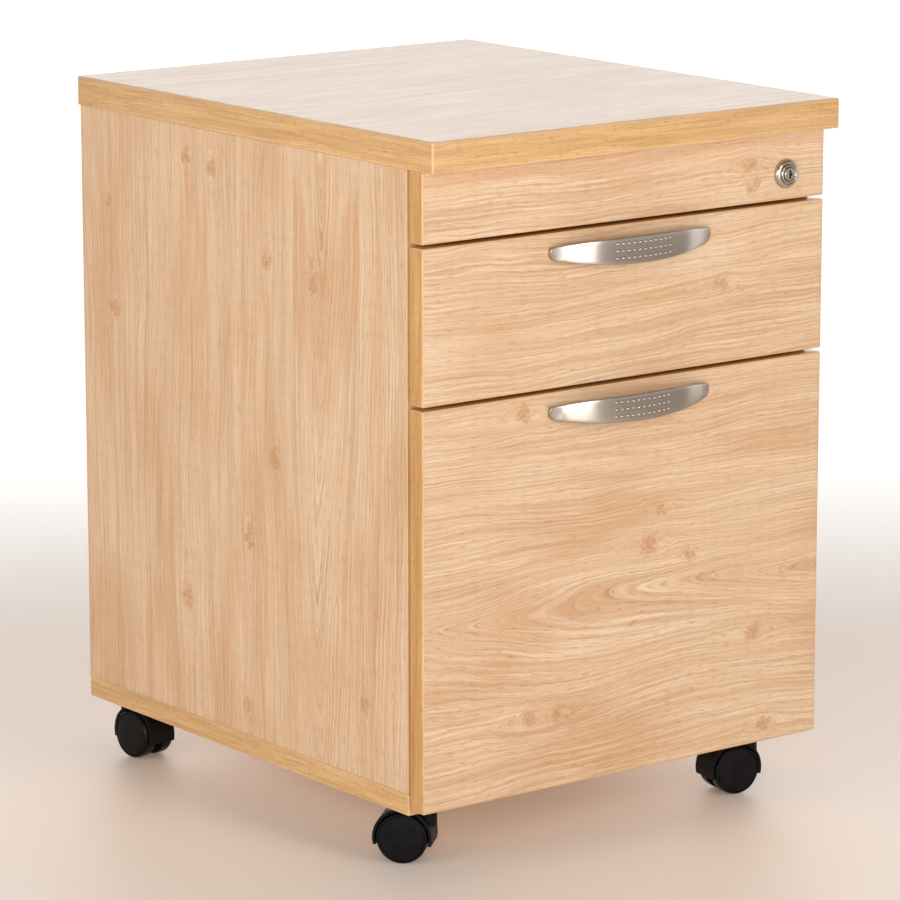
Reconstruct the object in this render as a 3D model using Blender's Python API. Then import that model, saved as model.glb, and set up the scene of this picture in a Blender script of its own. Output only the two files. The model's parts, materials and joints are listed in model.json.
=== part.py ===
"""Rolling pedestal cabinet: a box carcass on four twin-wheel castors, with a fixed lock panel,
a shallow upper drawer and a deep filing drawer. Metres, +Z up, the drawers open towards -Y,
and the origin is on the floor under the middle of the whole cabinet's box."""

from math import asin, cos, pi, radians, sin, sqrt

import bmesh
import bpy
from mathutils import Matrix, Vector

# ---- driving dimensions -------------------------------------------------------------------------
HEIGHT = 0.595
TOP_WIDTH = 0.420
TOP_DEPTH = 0.500
TOP_THICKNESS = 0.025
BOARD = 0.018  # sides, base, lock panel and drawer fronts
BACK_BOARD = 0.008
CARCASS_WIDTH = 0.416
CASTOR_HEIGHT = 0.049
TOP_FRONT_OVERHANG = 0.016
TOP_BACK_OVERHANG = 0.001
BACK_INSET = 0.004
TOUCH = 0.0003  # clearance between boards and fittings that meet
FRONT_STANDOFF = 0.0012  # drawer fronts to the carcass edges
EDGE_ROUND = 0.0015
BASE_EDGE_ROUND = 0.0008

LOCK_PANEL_HEIGHT = 0.057
UPPER_FRONT_HEIGHT = 0.1255
LOWER_FRONT_HEIGHT = 0.327
FRONT_SPACING = 0.003

BOX_SIDE = 0.012
BOX_BOTTOM = 0.006
BOX_BOTTOM_RAISE = 0.008
BOX_DEPTH = 0.415
RUNNER_SPACE = 0.0127  # between a drawer box and a side board
UPPER_BOX = (0.400, 0.490)  # lowest and highest z of the upper drawer box
LOWER_BOX = (0.082, 0.342)
FILE_RAIL = (0.003, 0.018)  # thickness and height
FILE_RAIL_SPACING = 0.385
FILE_RAIL_FRONT_GAP = 0.008

RUNNER_LENGTH = 0.400
RUNNER_FRONT_GAP = 0.002
RUNNER_METAL = 0.0012
# Each member's web and flange ends from the side board, its half height and its lips.
UPPER_RUNNER_SIZES = {"cabinet": (0.0003, 0.0095, 0.0175, 0.0025), "drawer": (0.0124, 0.0025, 0.0115, 0)}
LOWER_RUNNER_SIZES = {
    "cabinet": (0.0003, 0.0100, 0.0225, 0.0025),
    "middle": (0.0030, 0.0108, 0.0165, 0.0022),
    "drawer": (0.0124, 0.0055, 0.0105, 0),
}

HANDLE_LENGTH = 0.166
HANDLE_PROJECTION = 0.0205
HANDLE_STRAP = 0.003
HANDLE_END_HEIGHT = 0.010
HANDLE_TOP_RISE = 0.0048
HANDLE_BOTTOM_DROP = 0.0075
HANDLE_END_CORNER = 0.003
HANDLE_TOP_CURVE = 0.75  # powers of the bow's swell, for its upper and lower edges
HANDLE_BOTTOM_CURVE = 0.9
HANDLE_EDGE = 0.0006
HANDLE_POST_SPACING = 0.128
HANDLE_POST_RADIUS = 0.0045
HANDLE_POST_DROP = 0.006  # from the top of the handle's ends to the posts' axes
HANDLE_DROP = 0.0115  # from the front's top edge to the top of the handle's ends

LOCK_X = 0.1655
LOCK_DROP = 0.0605  # from the top's upper face down to the lock's centre
LOCK_COLLAR_RADIUS = 0.0122
LOCK_FACE_RADIUS = 0.0082  # where the collar's dome ends and the flat face begins
LOCK_DOME_HEIGHT = 0.0045
LOCK_FACE_STEP = (0.0004, 0.001)  # the raised ring on the face: inset and height
LOCK_BARREL_RADIUS = 0.0095
LOCK_PLUG_RADIUS = 0.0055
LOCK_PLUG_PROUD = 0.0065
LOCK_PLUG_PAST_NUT = 0.0007
LOCK_NUT_THICKNESS = 0.004
LOCK_NUT_CORNER = 0.0138
CAM_RADIUS = 0.011
CAM_THICKNESS = 0.0025
CAM_PIN_RADIUS = 0.0015
CAM_PIN_LENGTH = 0.0042
CAM_PIN_ORBIT = 0.0075
CAM_START = radians(-45)  # the cam pin's angle at rest, unlocked
KEY_SLOT = (0.0016, 0.006, 0.006)  # width, height and depth

GROOVE_START = 0.0065  # the locking bar's groove, from the side board's front edge
GROOVE_WIDTH = 0.0166
GROOVE_DEPTH = 0.0065
BAR_WIDTH = 0.014
BAR_THICKNESS = 0.0054
BAR_Z = (0.075, 0.556)
BAR_PIN_RADIUS = 0.0025
BAR_PIN_LENGTH = 0.0076
BAR_PIN_Z = {"upper": 0.468, "lower": 0.3145}
BAR_SIDE_GAP = 0.0006  # from the groove's mouth to the bar
LUG_SIZE = (0.002, 0.011)  # thickness and height
LUG_GAP = 0.0011  # from the cam's face
LUG_PAST_PIN = 0.0075
LUG_SLOT = (0.0092, 0.0044)  # width and height
LUG_SLOT_OFFSET = 0.0011  # the pin sweeps further out in the middle of its turn
CLIP_Z = {"upper": 0.395, "lower": 0.120}
CLIP_THICKNESS = 0.002
CLIP_HALF_HEIGHT = 0.008
CLIP_OVERLAP = 0.005
CATCH_METAL = 0.0015
CATCH_LENGTH = 0.025
CATCH_HEIGHT = 0.0145
CATCH_PIN_GAP = (0.002, 0.003)  # behind the pin and above it
CATCH_REACH = 0.003  # from the side board to the tab's end

CASTOR_X = {"front": 0.171, "back": 0.182}  # swivel axes, from the middle
CASTOR_FRONT_INSET = 0.0248  # swivel axes, from the base's front and back edges
CASTOR_BACK_INSET = 0.0240
CASTOR_TURN = {"front_left": 222, "front_right": 260, "back_left": 7, "back_right": 340}
WHEEL_RADIUS = 0.021
WHEEL_FACETS = 30
WHEEL_INNER = 0.0046  # a wheel's inner and outer faces, from the castor's middle plane
WHEEL_OUTER = 0.016
WHEEL_INNER_CORNER = 0.0008
WHEEL_OUTER_CORNER = 0.0014
WHEEL_DISC_EDGE = (0.0003, 0.0012, 0.0035)  # its set-back, and the two radii's reductions
TRAIL = 0.018
HOOD_RADIUS = 0.0245
HOOD_WALL = 0.0025
HOOD_HALF_WIDTH = 0.0135
HOOD_SKIRT = 0.006  # how far the hood reaches below the axle
WEB_HALF_WIDTH = 0.004
NECK_RADIUS = 0.0085
NECK_LOW = 0.030
NECK_GAP = 0.0006  # from the plate
KINGPIN_RADIUS = 0.003
KINGPIN_LOW = 0.0375
KINGPIN_END_GAP = 0.0005
AXLE_RADIUS = 0.002
AXLE_HALF = 0.013
PLATE_SIZE = 0.038
PLATE_THICKNESS = 0.002

# ---- places worked out from them ----------------------------------------------------------------
HANDLE_PAST_TOP = HANDLE_PROJECTION - TOP_FRONT_OVERHANG
TOP_FRONT_Y = HANDLE_PAST_TOP - (TOP_DEPTH + HANDLE_PAST_TOP) / 2
TOP_BACK_Y = TOP_FRONT_Y + TOP_DEPTH
FRONT_FACE_Y = TOP_FRONT_Y + TOP_FRONT_OVERHANG
FRONT_BACK_Y = FRONT_FACE_Y + BOARD
CARCASS_FRONT_Y = FRONT_BACK_Y + FRONT_STANDOFF
CARCASS_BACK_Y = TOP_BACK_Y - TOP_BACK_OVERHANG
BOX_FRONT_Y = FRONT_BACK_Y + TOUCH
BOX_BACK_Y = FRONT_BACK_Y + BOX_DEPTH
HALF_CARCASS = CARCASS_WIDTH / 2
INNER_X = HALF_CARCASS - BOARD
BOX_X = INNER_X - RUNNER_SPACE
BOX_INNER_X = BOX_X - BOX_SIDE
BASE_TOP_Z = CASTOR_HEIGHT + BOARD
TOP_UNDER_Z = HEIGHT - TOP_THICKNESS
LOCK_PANEL_TOP_Z = TOP_UNDER_Z - TOUCH
LOCK_PANEL_LOW_Z = LOCK_PANEL_TOP_Z - LOCK_PANEL_HEIGHT
UPPER_FRONT_TOP_Z = LOCK_PANEL_LOW_Z - FRONT_SPACING
UPPER_FRONT_LOW_Z = UPPER_FRONT_TOP_Z - UPPER_FRONT_HEIGHT
LOWER_FRONT_TOP_Z = UPPER_FRONT_LOW_Z - FRONT_SPACING
LOWER_FRONT_LOW_Z = LOWER_FRONT_TOP_Z - LOWER_FRONT_HEIGHT
LOCK_Z = HEIGHT - LOCK_DROP
RUNNER_Y = (CARCASS_FRONT_Y + RUNNER_FRONT_GAP, CARCASS_FRONT_Y + RUNNER_FRONT_GAP + RUNNER_LENGTH)
GROOVE_Y = (CARCASS_FRONT_Y + GROOVE_START, CARCASS_FRONT_Y + GROOVE_START + GROOVE_WIDTH)
BAR_MIDDLE_Y = (GROOVE_Y[0] + GROOVE_Y[1]) / 2
BAR_X = INNER_X + BAR_SIDE_GAP


# ---- scene and materials ------------------------------------------------------------------------
def clear_scene():
    for old in list(bpy.data.objects):
        bpy.data.objects.remove(old)


def make_material(name, colour, roughness, metallic=0.0):
    material = bpy.data.materials.new(name)
    material.use_nodes = True
    shader = material.node_tree.nodes["Principled BSDF"]
    shader.inputs["Base Color"].default_value = (*colour, 1.0)
    shader.inputs["Roughness"].default_value = roughness
    shader.inputs["Metallic"].default_value = metallic
    return material


clear_scene()
OAK = make_material("oak_board", (0.74, 0.52, 0.34), 0.5)
BOX_BOARD = make_material("drawer_box_board", (0.72, 0.70, 0.66), 0.55)
HARDBOARD = make_material("back_board", (0.60, 0.43, 0.28), 0.6)
SATIN_STEEL = make_material("satin_steel", (0.62, 0.61, 0.59), 0.3, 1.0)
ZINC = make_material("zinc_steel", (0.60, 0.61, 0.63), 0.4, 1.0)
NICKEL = make_material("nickel_lock", (0.66, 0.64, 0.60), 0.25, 1.0)
BLACK_STEEL = make_material("black_steel", (0.02, 0.02, 0.022), 0.5)
BLACK_NYLON = make_material("black_nylon", (0.012, 0.012, 0.013), 0.42)


# ---- shape helpers ------------------------------------------------------------------------------
def add_object(name, shape, material, location=(0, 0, 0), parent=None, smooth=False):
    """Turns a bmesh into a named object with one material, placed under its parent."""
    mesh = bpy.data.meshes.new(name)
    bmesh.ops.recalc_face_normals(shape, faces=shape.faces)
    shape.to_mesh(mesh)
    shape.free()
    mesh.materials.append(material)
    if smooth:
        mesh.shade_smooth()
        mesh.set_sharp_from_angle(angle=radians(35))
    thing = bpy.data.objects.new(name, mesh)
    bpy.context.scene.collection.objects.link(thing)
    thing.parent = parent
    thing.location = location
    return thing


def add_empty(name, location, turn=0.0):
    empty = bpy.data.objects.new(name, None)
    bpy.context.scene.collection.objects.link(empty)
    empty.location = location
    empty.rotation_euler = (0, 0, turn)
    return empty


def block_mesh(size, centre=(0, 0, 0)):
    shape = bmesh.new()
    bmesh.ops.create_cube(shape, size=1.0)
    bmesh.ops.scale(shape, vec=size, verts=shape.verts)
    bmesh.ops.translate(shape, vec=centre, verts=shape.verts)
    return shape


def board(name, low, high, material, parent=None, rounded=0.0):
    """A board between two world corners, its origin at its middle."""
    low, high = Vector(low), Vector(high)
    middle = (low + high) / 2
    anchor = parent.location if parent else Vector()
    thing = add_object(name, block_mesh(high - low), material, middle - anchor, parent)
    if rounded:
        bevel = thing.modifiers.new("rounded_edges", "BEVEL")
        bevel.width = rounded
        bevel.segments = 2
    return thing


def prism_mesh(outline, start, end, along):
    """Extrudes an outline. along 'Y' reads it as (x, z), and 'Z' as (x, y)."""
    shape = bmesh.new()
    if along == "Y":
        corners = [shape.verts.new((a, start, b)) for a, b in outline]
        path = (0, end - start, 0)
    else:
        corners = [shape.verts.new((a, b, start)) for a, b in outline]
        path = (0, 0, end - start)
    cap = shape.faces.new(corners)
    grown = bmesh.ops.extrude_face_region(shape, geom=[cap])
    moved = [v for v in grown["geom"] if isinstance(v, bmesh.types.BMVert)]
    bmesh.ops.translate(shape, vec=path, verts=moved)
    return shape


def turned_mesh(profile, segments, along):
    """Turns a profile of (distance along the axis, radius) about X, Y or Z. A radius of 0
    closes on the axis."""
    shape = bmesh.new()
    rings = []
    for step, radius in profile:
        if radius == 0:
            rings.append([shape.verts.new((0, 0, step))])
            continue
        angles = [2 * pi * (k + 0.5) / segments for k in range(segments)]
        rings.append([shape.verts.new((radius * cos(a), radius * sin(a), step)) for a in angles])
    pairs = list(zip(rings, rings[1:]))
    if profile[0][1] != 0:
        pairs.append((rings[-1], rings[0]))
    for first, second in pairs:
        for k in range(segments):
            near = [first[k % len(first)], first[(k + 1) % len(first)]]
            far = [second[(k + 1) % len(second)], second[k % len(second)]]
            corners = list(dict.fromkeys(near + far))
            shape.faces.new(corners)
    turn = {"X": Matrix.Rotation(pi / 2, 4, "Y"), "Y": Matrix.Rotation(-pi / 2, 4, "X")}
    if along in turn:
        bmesh.ops.transform(shape, matrix=turn[along], verts=shape.verts)
    return shape


def rod_mesh(radius, start, end, segments, along):
    return turned_mesh([(start, 0), (start, radius), (end, radius), (end, 0)], segments, along)


def add_tool(name, shape, location=(0, 0, 0), parent=None):
    """A hidden shape that a Boolean adds or takes away."""
    tool = add_object(name, shape, OAK, location, parent)
    tool.hide_render = True
    tool.display_type = "WIRE"
    return tool


def combine(thing, tool, operation):
    step = thing.modifiers.new(tool.name, "BOOLEAN")
    step.operation = operation
    step.solver = "EXACT"
    step.object = tool


# ---- carcass ------------------------------------------------------------------------------------
def make_carcass():
    half_top = TOP_WIDTH / 2
    board("top_panel", (-half_top, TOP_FRONT_Y, TOP_UNDER_Z), (half_top, TOP_BACK_Y, HEIGHT),
          OAK, rounded=EDGE_ROUND)
    board("base_panel", (-HALF_CARCASS, CARCASS_FRONT_Y, CASTOR_HEIGHT),
          (HALF_CARCASS, CARCASS_BACK_Y, BASE_TOP_Z), OAK, rounded=BASE_EDGE_ROUND)
    side_low, side_high = BASE_TOP_Z + TOUCH, TOP_UNDER_Z - TOUCH
    board("left_side_panel", (-HALF_CARCASS, CARCASS_FRONT_Y, side_low),
          (-INNER_X, CARCASS_BACK_Y, side_high), OAK)
    groove_floor = INNER_X + GROOVE_DEPTH
    outline = [
        (HALF_CARCASS, CARCASS_FRONT_Y),
        (HALF_CARCASS, CARCASS_BACK_Y),
        (INNER_X, CARCASS_BACK_Y),
        (INNER_X, GROOVE_Y[1]),
        (groove_floor, GROOVE_Y[1]),
        (groove_floor, GROOVE_Y[0]),
        (INNER_X, GROOVE_Y[0]),
        (INNER_X, CARCASS_FRONT_Y),
    ]
    add_object("right_side_panel", prism_mesh(outline, side_low, side_high, "Z"), OAK)
    back_face = CARCASS_BACK_Y - BACK_INSET
    board("back_panel", (-INNER_X + TOUCH, back_face - BACK_BOARD, side_low),
          (INNER_X - TOUCH, back_face, side_high), HARDBOARD)
    panel = board("lock_panel", (-HALF_CARCASS, FRONT_FACE_Y, LOCK_PANEL_LOW_Z),
                  (HALF_CARCASS, FRONT_BACK_Y, LOCK_PANEL_TOP_Z), OAK, rounded=EDGE_ROUND)
    hole = rod_mesh(LOCK_BARREL_RADIUS + TOUCH, -BOARD, BOARD, 24, "Y")
    hole_place = (LOCK_X, (FRONT_FACE_Y + FRONT_BACK_Y) / 2, LOCK_Z)
    combine(panel, add_tool("lock_hole", hole, hole_place), "DIFFERENCE")


# ---- lock and locking bar -----------------------------------------------------------------------
def lock_housing_profile(barrel_end):
    """From the bore's back end outwards, along the barrel, over the dome and into the bore."""
    bore = LOCK_PLUG_RADIUS + TOUCH
    profile = [(barrel_end, bore), (barrel_end, LOCK_BARREL_RADIUS), (-TOUCH, LOCK_BARREL_RADIUS)]
    for k in range(5):
        lean = radians(90) * k / 4
        radius = LOCK_FACE_RADIUS + (LOCK_COLLAR_RADIUS - LOCK_FACE_RADIUS) * cos(lean)
        profile.append((-TOUCH - LOCK_DOME_HEIGHT * sin(lean), radius))
    step_inset, step_height = LOCK_FACE_STEP
    face_y = -LOCK_DOME_HEIGHT - step_height
    return profile + [(face_y, LOCK_FACE_RADIUS - step_inset), (face_y, bore)]


def make_lock():
    """The lock turns about Y. Its profiles count y from the lock panel's face, inwards.
    Returns the y of the cam's back and the place of its pin."""
    place = (LOCK_X, FRONT_FACE_Y, LOCK_Z)
    nut_start = BOARD + TOUCH
    barrel_end = nut_start + LOCK_NUT_THICKNESS
    housing = turned_mesh(lock_housing_profile(barrel_end), 24, "Y")
    add_object("lock_housing", housing, NICKEL, place, smooth=True)

    corners = [radians(60 * k) for k in range(6)]
    hexagon = [(LOCK_NUT_CORNER * cos(angle), LOCK_NUT_CORNER * sin(angle)) for angle in corners]
    lock_nut = add_object("lock_nut", prism_mesh(hexagon, nut_start, barrel_end, "Y"), ZINC, place)
    nut_bore = rod_mesh(LOCK_BARREL_RADIUS + TOUCH, 0, 2 * BOARD, 24, "Y")
    combine(lock_nut, add_tool("nut_bore", nut_bore, place), "DIFFERENCE")

    plug_end = barrel_end + LOCK_PLUG_PAST_NUT
    plug = add_object("lock_plug", rod_mesh(LOCK_PLUG_RADIUS, -LOCK_PLUG_PROUD, plug_end, 20, "Y"),
                      NICKEL, place, smooth=True)
    width, height, depth = KEY_SLOT
    slot = block_mesh((width, 2 * depth, height), (0, -LOCK_PLUG_PROUD, 0))
    combine(plug, add_tool("key_slot", slot, place), "DIFFERENCE")

    cam_start = plug_end + TOUCH
    cam_end = cam_start + CAM_THICKNESS
    cam = add_object("lock_cam", rod_mesh(CAM_RADIUS, cam_start, cam_end, 20, "Y"), ZINC, place)
    pin = rod_mesh(CAM_PIN_RADIUS, cam_end - CAM_THICKNESS / 2, cam_end + CAM_PIN_LENGTH, 10, "Y")
    pin_place = Vector(place) + Vector((cos(CAM_START), 0, sin(CAM_START))) * CAM_PIN_ORBIT
    combine(cam, add_tool("cam_pin", pin, pin_place), "UNION")
    return FRONT_FACE_Y + cam_end, pin_place


def make_locking_bar(cam_back_y, pin_place):
    """A flat bar that slides up in the right side's groove. Its lug reaches to the cam's pin,
    and its pins stop the drawers' catches when it is up."""
    low, high = BAR_Z
    middle = Vector((BAR_X + BAR_THICKNESS / 2, BAR_MIDDLE_Y, (low + high) / 2))
    bar = add_object("locking_bar", block_mesh((BAR_THICKNESS, BAR_WIDTH, high - low)), ZINC, middle)

    lug_thickness, lug_height = LUG_SIZE
    lug_start = pin_place.x - LUG_PAST_PIN
    lug_end = BAR_X + BAR_THICKNESS / 2
    lug_y = cam_back_y + LUG_GAP + lug_thickness / 2
    lug = block_mesh((lug_end - lug_start, lug_thickness, lug_height))
    lug_place = ((lug_start + lug_end) / 2, lug_y, pin_place.z)
    combine(bar, add_tool("bar_lug", lug, lug_place), "UNION")
    for end, z in BAR_PIN_Z.items():
        pin = rod_mesh(BAR_PIN_RADIUS, -BAR_PIN_LENGTH, BAR_THICKNESS / 2, 12, "X")
        combine(bar, add_tool(f"bar_pin_{end}", pin, (BAR_X, BAR_MIDDLE_Y, z)), "UNION")
    slot_width, slot_height = LUG_SLOT
    slot = block_mesh((slot_width, 4 * lug_thickness, slot_height))
    slot_place = (pin_place.x + LUG_SLOT_OFFSET, lug_y, pin_place.z)
    combine(bar, add_tool("bar_slot", slot, slot_place), "DIFFERENCE")

    for end, z in CLIP_Z.items():
        face = INNER_X - TOUCH
        board(f"lock_bar_clip_{end}",
              (face - CLIP_THICKNESS, GROOVE_Y[0] - CLIP_OVERLAP, z - CLIP_HALF_HEIGHT),
              (face, GROOVE_Y[1] + CLIP_OVERLAP, z + CLIP_HALF_HEIGHT), BLACK_NYLON)


# ---- drawer runners -----------------------------------------------------------------------------
def channel(web, reach, half_height, lip):
    """Outline of a rolled channel, as (distance from the side board, height). Its web is at
    `web` and its flanges reach to `reach`, with lips turned in if lip is set."""
    metal = RUNNER_METAL
    inward = metal if reach > web else -metal
    outline = [(web, -half_height), (reach, -half_height)]
    if lip:
        lip_end = -half_height + metal + lip
        outline += [(reach, lip_end), (reach - inward, lip_end), (reach - inward, -half_height + metal)]
    else:
        outline += [(reach, -half_height + metal)]
    outline += [(web + inward, -half_height + metal)]
    return outline + [(a, -b) for a, b in reversed(outline)]


def make_runners(level, sizes, centre_z, drawer):
    for side, sign in (("left", -1), ("right", 1)):
        for member, size in sizes.items():
            placed = [(sign * (INNER_X - depth), height) for depth, height in channel(*size)]
            shape = prism_mesh(placed, 0, RUNNER_LENGTH, "Y")
            place = Vector((0, RUNNER_Y[0], centre_z))
            parent = None
            if member == "drawer":
                parent = drawer
                place = place - drawer.location
            add_object(f"{level}_{member}_runner_{side}", shape, ZINC, place, parent)


# ---- handles ------------------------------------------------------------------------------------
def handle_mesh():
    """A crescent strap bowed out from the drawer front. x runs along it, y is 0 at the drawer
    front's face and grows negative outwards, and z is 0 at the top of its ends."""
    half = HANDLE_LENGTH / 2
    stations = [-1 + 2 * k / 20 for k in range(21)]
    near_end = [1 - HANDLE_END_CORNER * part / half for part in (0.12, 0.45)]
    stations = sorted(stations + near_end + [-s for s in near_end])
    shape = bmesh.new()
    loops = []
    for s in stations:
        swell = 1 - s * s
        top = HANDLE_TOP_RISE * swell ** HANDLE_TOP_CURVE
        low = -HANDLE_END_HEIGHT - HANDLE_BOTTOM_DROP * swell ** HANDLE_BOTTOM_CURVE
        from_end = half * (1 - abs(s))
        if from_end < HANDLE_END_CORNER:
            short = HANDLE_END_CORNER - from_end
            cut = HANDLE_END_CORNER - sqrt(HANDLE_END_CORNER ** 2 - short ** 2)
            top -= cut
            low += cut
        outer = -HANDLE_STRAP - (HANDLE_PROJECTION - HANDLE_STRAP) * swell
        inner = -TOUCH - (HANDLE_PROJECTION - HANDLE_STRAP) * swell
        x = half * s
        edge = HANDLE_EDGE
        section = [
            (inner, top), (inner, low), (outer + edge, low), (outer, low + edge),
            (outer, (top + low) / 2), (outer, top - edge), (outer + edge, top),
        ]
        loops.append([shape.verts.new((x, y, z)) for y, z in section])
    count = len(loops[0])
    for first, second in zip(loops, loops[1:]):
        for k in range(count):
            after = (k + 1) % count
            shape.faces.new((first[k], first[after], second[after], second[k]))
    shape.faces.new(loops[0])
    shape.faces.new(list(reversed(loops[-1])))
    return shape


def make_handle(level, ends_top_z, drawer):
    place = Vector((0, FRONT_FACE_Y, ends_top_z)) - drawer.location
    handle = add_object(f"{level}_drawer_handle", handle_mesh(), SATIN_STEEL, place, drawer, smooth=True)
    for side, sign in (("left", -1), ("right", 1)):
        across = sign * HANDLE_POST_SPACING / 2
        swell = 1 - (across / (HANDLE_LENGTH / 2)) ** 2
        reach = TOUCH + (HANDLE_PROJECTION - HANDLE_STRAP) * swell + HANDLE_STRAP / 2
        post = rod_mesh(HANDLE_POST_RADIUS, -reach, -TOUCH, 14, "Y")
        post_place = place + Vector((across, 0, -HANDLE_POST_DROP))
        combine(handle, add_tool(f"{level}_handle_post_{side}", post, post_place, drawer), "UNION")


# ---- drawers ------------------------------------------------------------------------------------
def make_drawer(level, front_z, box_z):
    """One drawer under an empty at the middle of its front's face."""
    drawer = add_empty(f"{level}_drawer_slide", (0, FRONT_FACE_Y, (front_z[0] + front_z[1]) / 2))
    board(f"{level}_drawer_front", (-HALF_CARCASS, FRONT_FACE_Y, front_z[0]),
          (HALF_CARCASS, FRONT_BACK_Y, front_z[1]), OAK, drawer, rounded=EDGE_ROUND)
    low, high = box_z
    for side, sign in (("left", -1), ("right", 1)):
        near, far = sorted((sign * BOX_INNER_X, sign * BOX_X))
        board(f"{level}_drawer_{side}_side", (near, BOX_FRONT_Y, low), (far, BOX_BACK_Y, high),
              BOX_BOARD, drawer)
    across = BOX_INNER_X - TOUCH
    bottom_top = low + BOX_BOTTOM_RAISE + BOX_BOTTOM
    board(f"{level}_drawer_bottom", (-across, BOX_FRONT_Y, low + BOX_BOTTOM_RAISE),
          (across, BOX_BACK_Y, bottom_top), BOX_BOARD, drawer)
    board(f"{level}_drawer_back", (-across, BOX_BACK_Y - BOX_SIDE, bottom_top + TOUCH),
          (across, BOX_BACK_Y, high), BOX_BOARD, drawer)
    make_handle(level, front_z[1] - HANDLE_DROP, drawer)
    make_catch(level, drawer)
    return drawer


def make_catch(level, drawer):
    """An angle on the drawer's right side. Its tab stands behind the bar's pin, above it."""
    behind, above = CATCH_PIN_GAP
    near_x = BOX_X + TOUCH
    far_x = INNER_X - CATCH_REACH
    tab_y = BAR_MIDDLE_Y + BAR_PIN_RADIUS + behind
    outline = [
        (near_x, tab_y),
        (far_x, tab_y),
        (far_x, tab_y + CATCH_METAL),
        (near_x + CATCH_METAL, tab_y + CATCH_METAL),
        (near_x + CATCH_METAL, tab_y + CATCH_LENGTH),
        (near_x, tab_y + CATCH_LENGTH),
    ]
    shape = prism_mesh(outline, 0, CATCH_HEIGHT, "Z")
    low = BAR_PIN_Z[level] + BAR_PIN_RADIUS + above
    place = Vector((0, 0, low)) - drawer.location
    add_object(f"{level}_drawer_catch", shape, ZINC, place, drawer)


def make_file_rails(drawer):
    thick, tall = FILE_RAIL
    across = BOX_INNER_X - TOUCH
    high = LOWER_BOX[1]
    front = BOX_FRONT_Y + FILE_RAIL_FRONT_GAP
    for name, start in (("front_file_rail", front), ("rear_file_rail", front + FILE_RAIL_SPACING)):
        board(name, (-across, start, high - tall), (across, start + thick, high), ZINC, drawer)


# ---- castors ------------------------------------------------------------------------------------
def hood_mesh():
    """The outer shape of the hood in profile, (y, z) about the axle, cut off below."""
    half_gap = asin(HOOD_SKIRT / HOOD_RADIUS)
    steps = 22
    sweep = pi + 2 * half_gap
    outline = []
    for k in range(steps + 1):
        angle = -half_gap + sweep * k / steps
        outline.append((HOOD_RADIUS * cos(angle), HOOD_RADIUS * sin(angle)))
    shape = prism_mesh(outline, -HOOD_HALF_WIDTH, HOOD_HALF_WIDTH, "Z")
    lay = Matrix(((0, 0, 1, 0), (1, 0, 0, 0), (0, 1, 0, 0), (0, 0, 0, 1)))
    bmesh.ops.transform(shape, matrix=lay, verts=shape.verts)
    return shape


def make_castor(corner, x, y):
    """One castor about its swivel axis. Its own +X is the axle's direction, and the wheels trail
    towards its own -Y."""
    swivel = add_empty(f"castor_{corner}", (x, y, 0), radians(CASTOR_TURN[corner]))
    name = f"castor_{corner}"
    axle_place = Vector((0, -TRAIL, WHEEL_RADIUS))

    plate_high = CASTOR_HEIGHT - TOUCH
    plate_low = plate_high - PLATE_THICKNESS
    plate = add_object(f"{name}_plate", block_mesh((PLATE_SIZE, PLATE_SIZE, PLATE_THICKNESS)),
                       BLACK_STEEL, (x, y, (plate_low + plate_high) / 2))
    kingpin = rod_mesh(KINGPIN_RADIUS, KINGPIN_LOW, plate_low + PLATE_THICKNESS / 2, 12, "Z")
    combine(plate, add_tool(f"{name}_kingpin", kingpin, (x, y, 0)), "UNION")

    hood = add_object(f"{name}_hood", hood_mesh(), BLACK_NYLON, axle_place, swivel, smooth=True)
    neck = rod_mesh(NECK_RADIUS, NECK_LOW, plate_low - NECK_GAP, 20, "Z")
    combine(hood, add_tool(f"{name}_neck", neck, (0, 0, 0), swivel), "UNION")
    bore = rod_mesh(AXLE_RADIUS + TOUCH, -HOOD_RADIUS, HOOD_RADIUS, 12, "X")
    combine(hood, add_tool(f"{name}_bore", bore, axle_place, swivel), "DIFFERENCE")
    for side, sign in (("a", 1), ("b", -1)):
        ends = sorted((sign * WEB_HALF_WIDTH, sign * WHEEL_OUTER))
        pocket = rod_mesh(HOOD_RADIUS - HOOD_WALL, ends[0], ends[1], 32, "X")
        combine(hood, add_tool(f"{name}_pocket_{side}", pocket, axle_place, swivel), "DIFFERENCE")
    socket_low = KINGPIN_LOW - KINGPIN_END_GAP
    socket = rod_mesh(KINGPIN_RADIUS + TOUCH, socket_low, CASTOR_HEIGHT, 12, "Z")
    combine(hood, add_tool(f"{name}_socket", socket, (0, 0, 0), swivel), "DIFFERENCE")

    add_object(f"{name}_axle", rod_mesh(AXLE_RADIUS, -AXLE_HALF, AXLE_HALF, 12, "X"), ZINC,
               axle_place, swivel, smooth=True)

    hub_bore = AXLE_RADIUS + TOUCH
    hub_depth = AXLE_HALF + TOUCH
    set_back, rim_drop, disc_drop = WHEEL_DISC_EDGE
    profile = [
        (hub_depth, 0),
        (hub_depth, hub_bore),
        (WHEEL_INNER, hub_bore),
        (WHEEL_INNER, WHEEL_RADIUS - WHEEL_INNER_CORNER),
        (WHEEL_INNER + WHEEL_INNER_CORNER, WHEEL_RADIUS),
        (WHEEL_OUTER - WHEEL_OUTER_CORNER, WHEEL_RADIUS),
        (WHEEL_OUTER - set_back, WHEEL_RADIUS - rim_drop),
        (WHEEL_OUTER, WHEEL_RADIUS - disc_drop),
        (WHEEL_OUTER, 0),
    ]
    to_corners = 1 / cos(pi / WHEEL_FACETS)  # puts the lowest facet on the floor
    for side, sign in (("a", 1), ("b", -1)):
        placed = [(sign * step, radius * to_corners) for step, radius in profile]
        add_object(f"{name}_wheel_{side}", turned_mesh(placed, WHEEL_FACETS, "X"), BLACK_NYLON,
                   axle_place, swivel, smooth=True)


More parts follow.
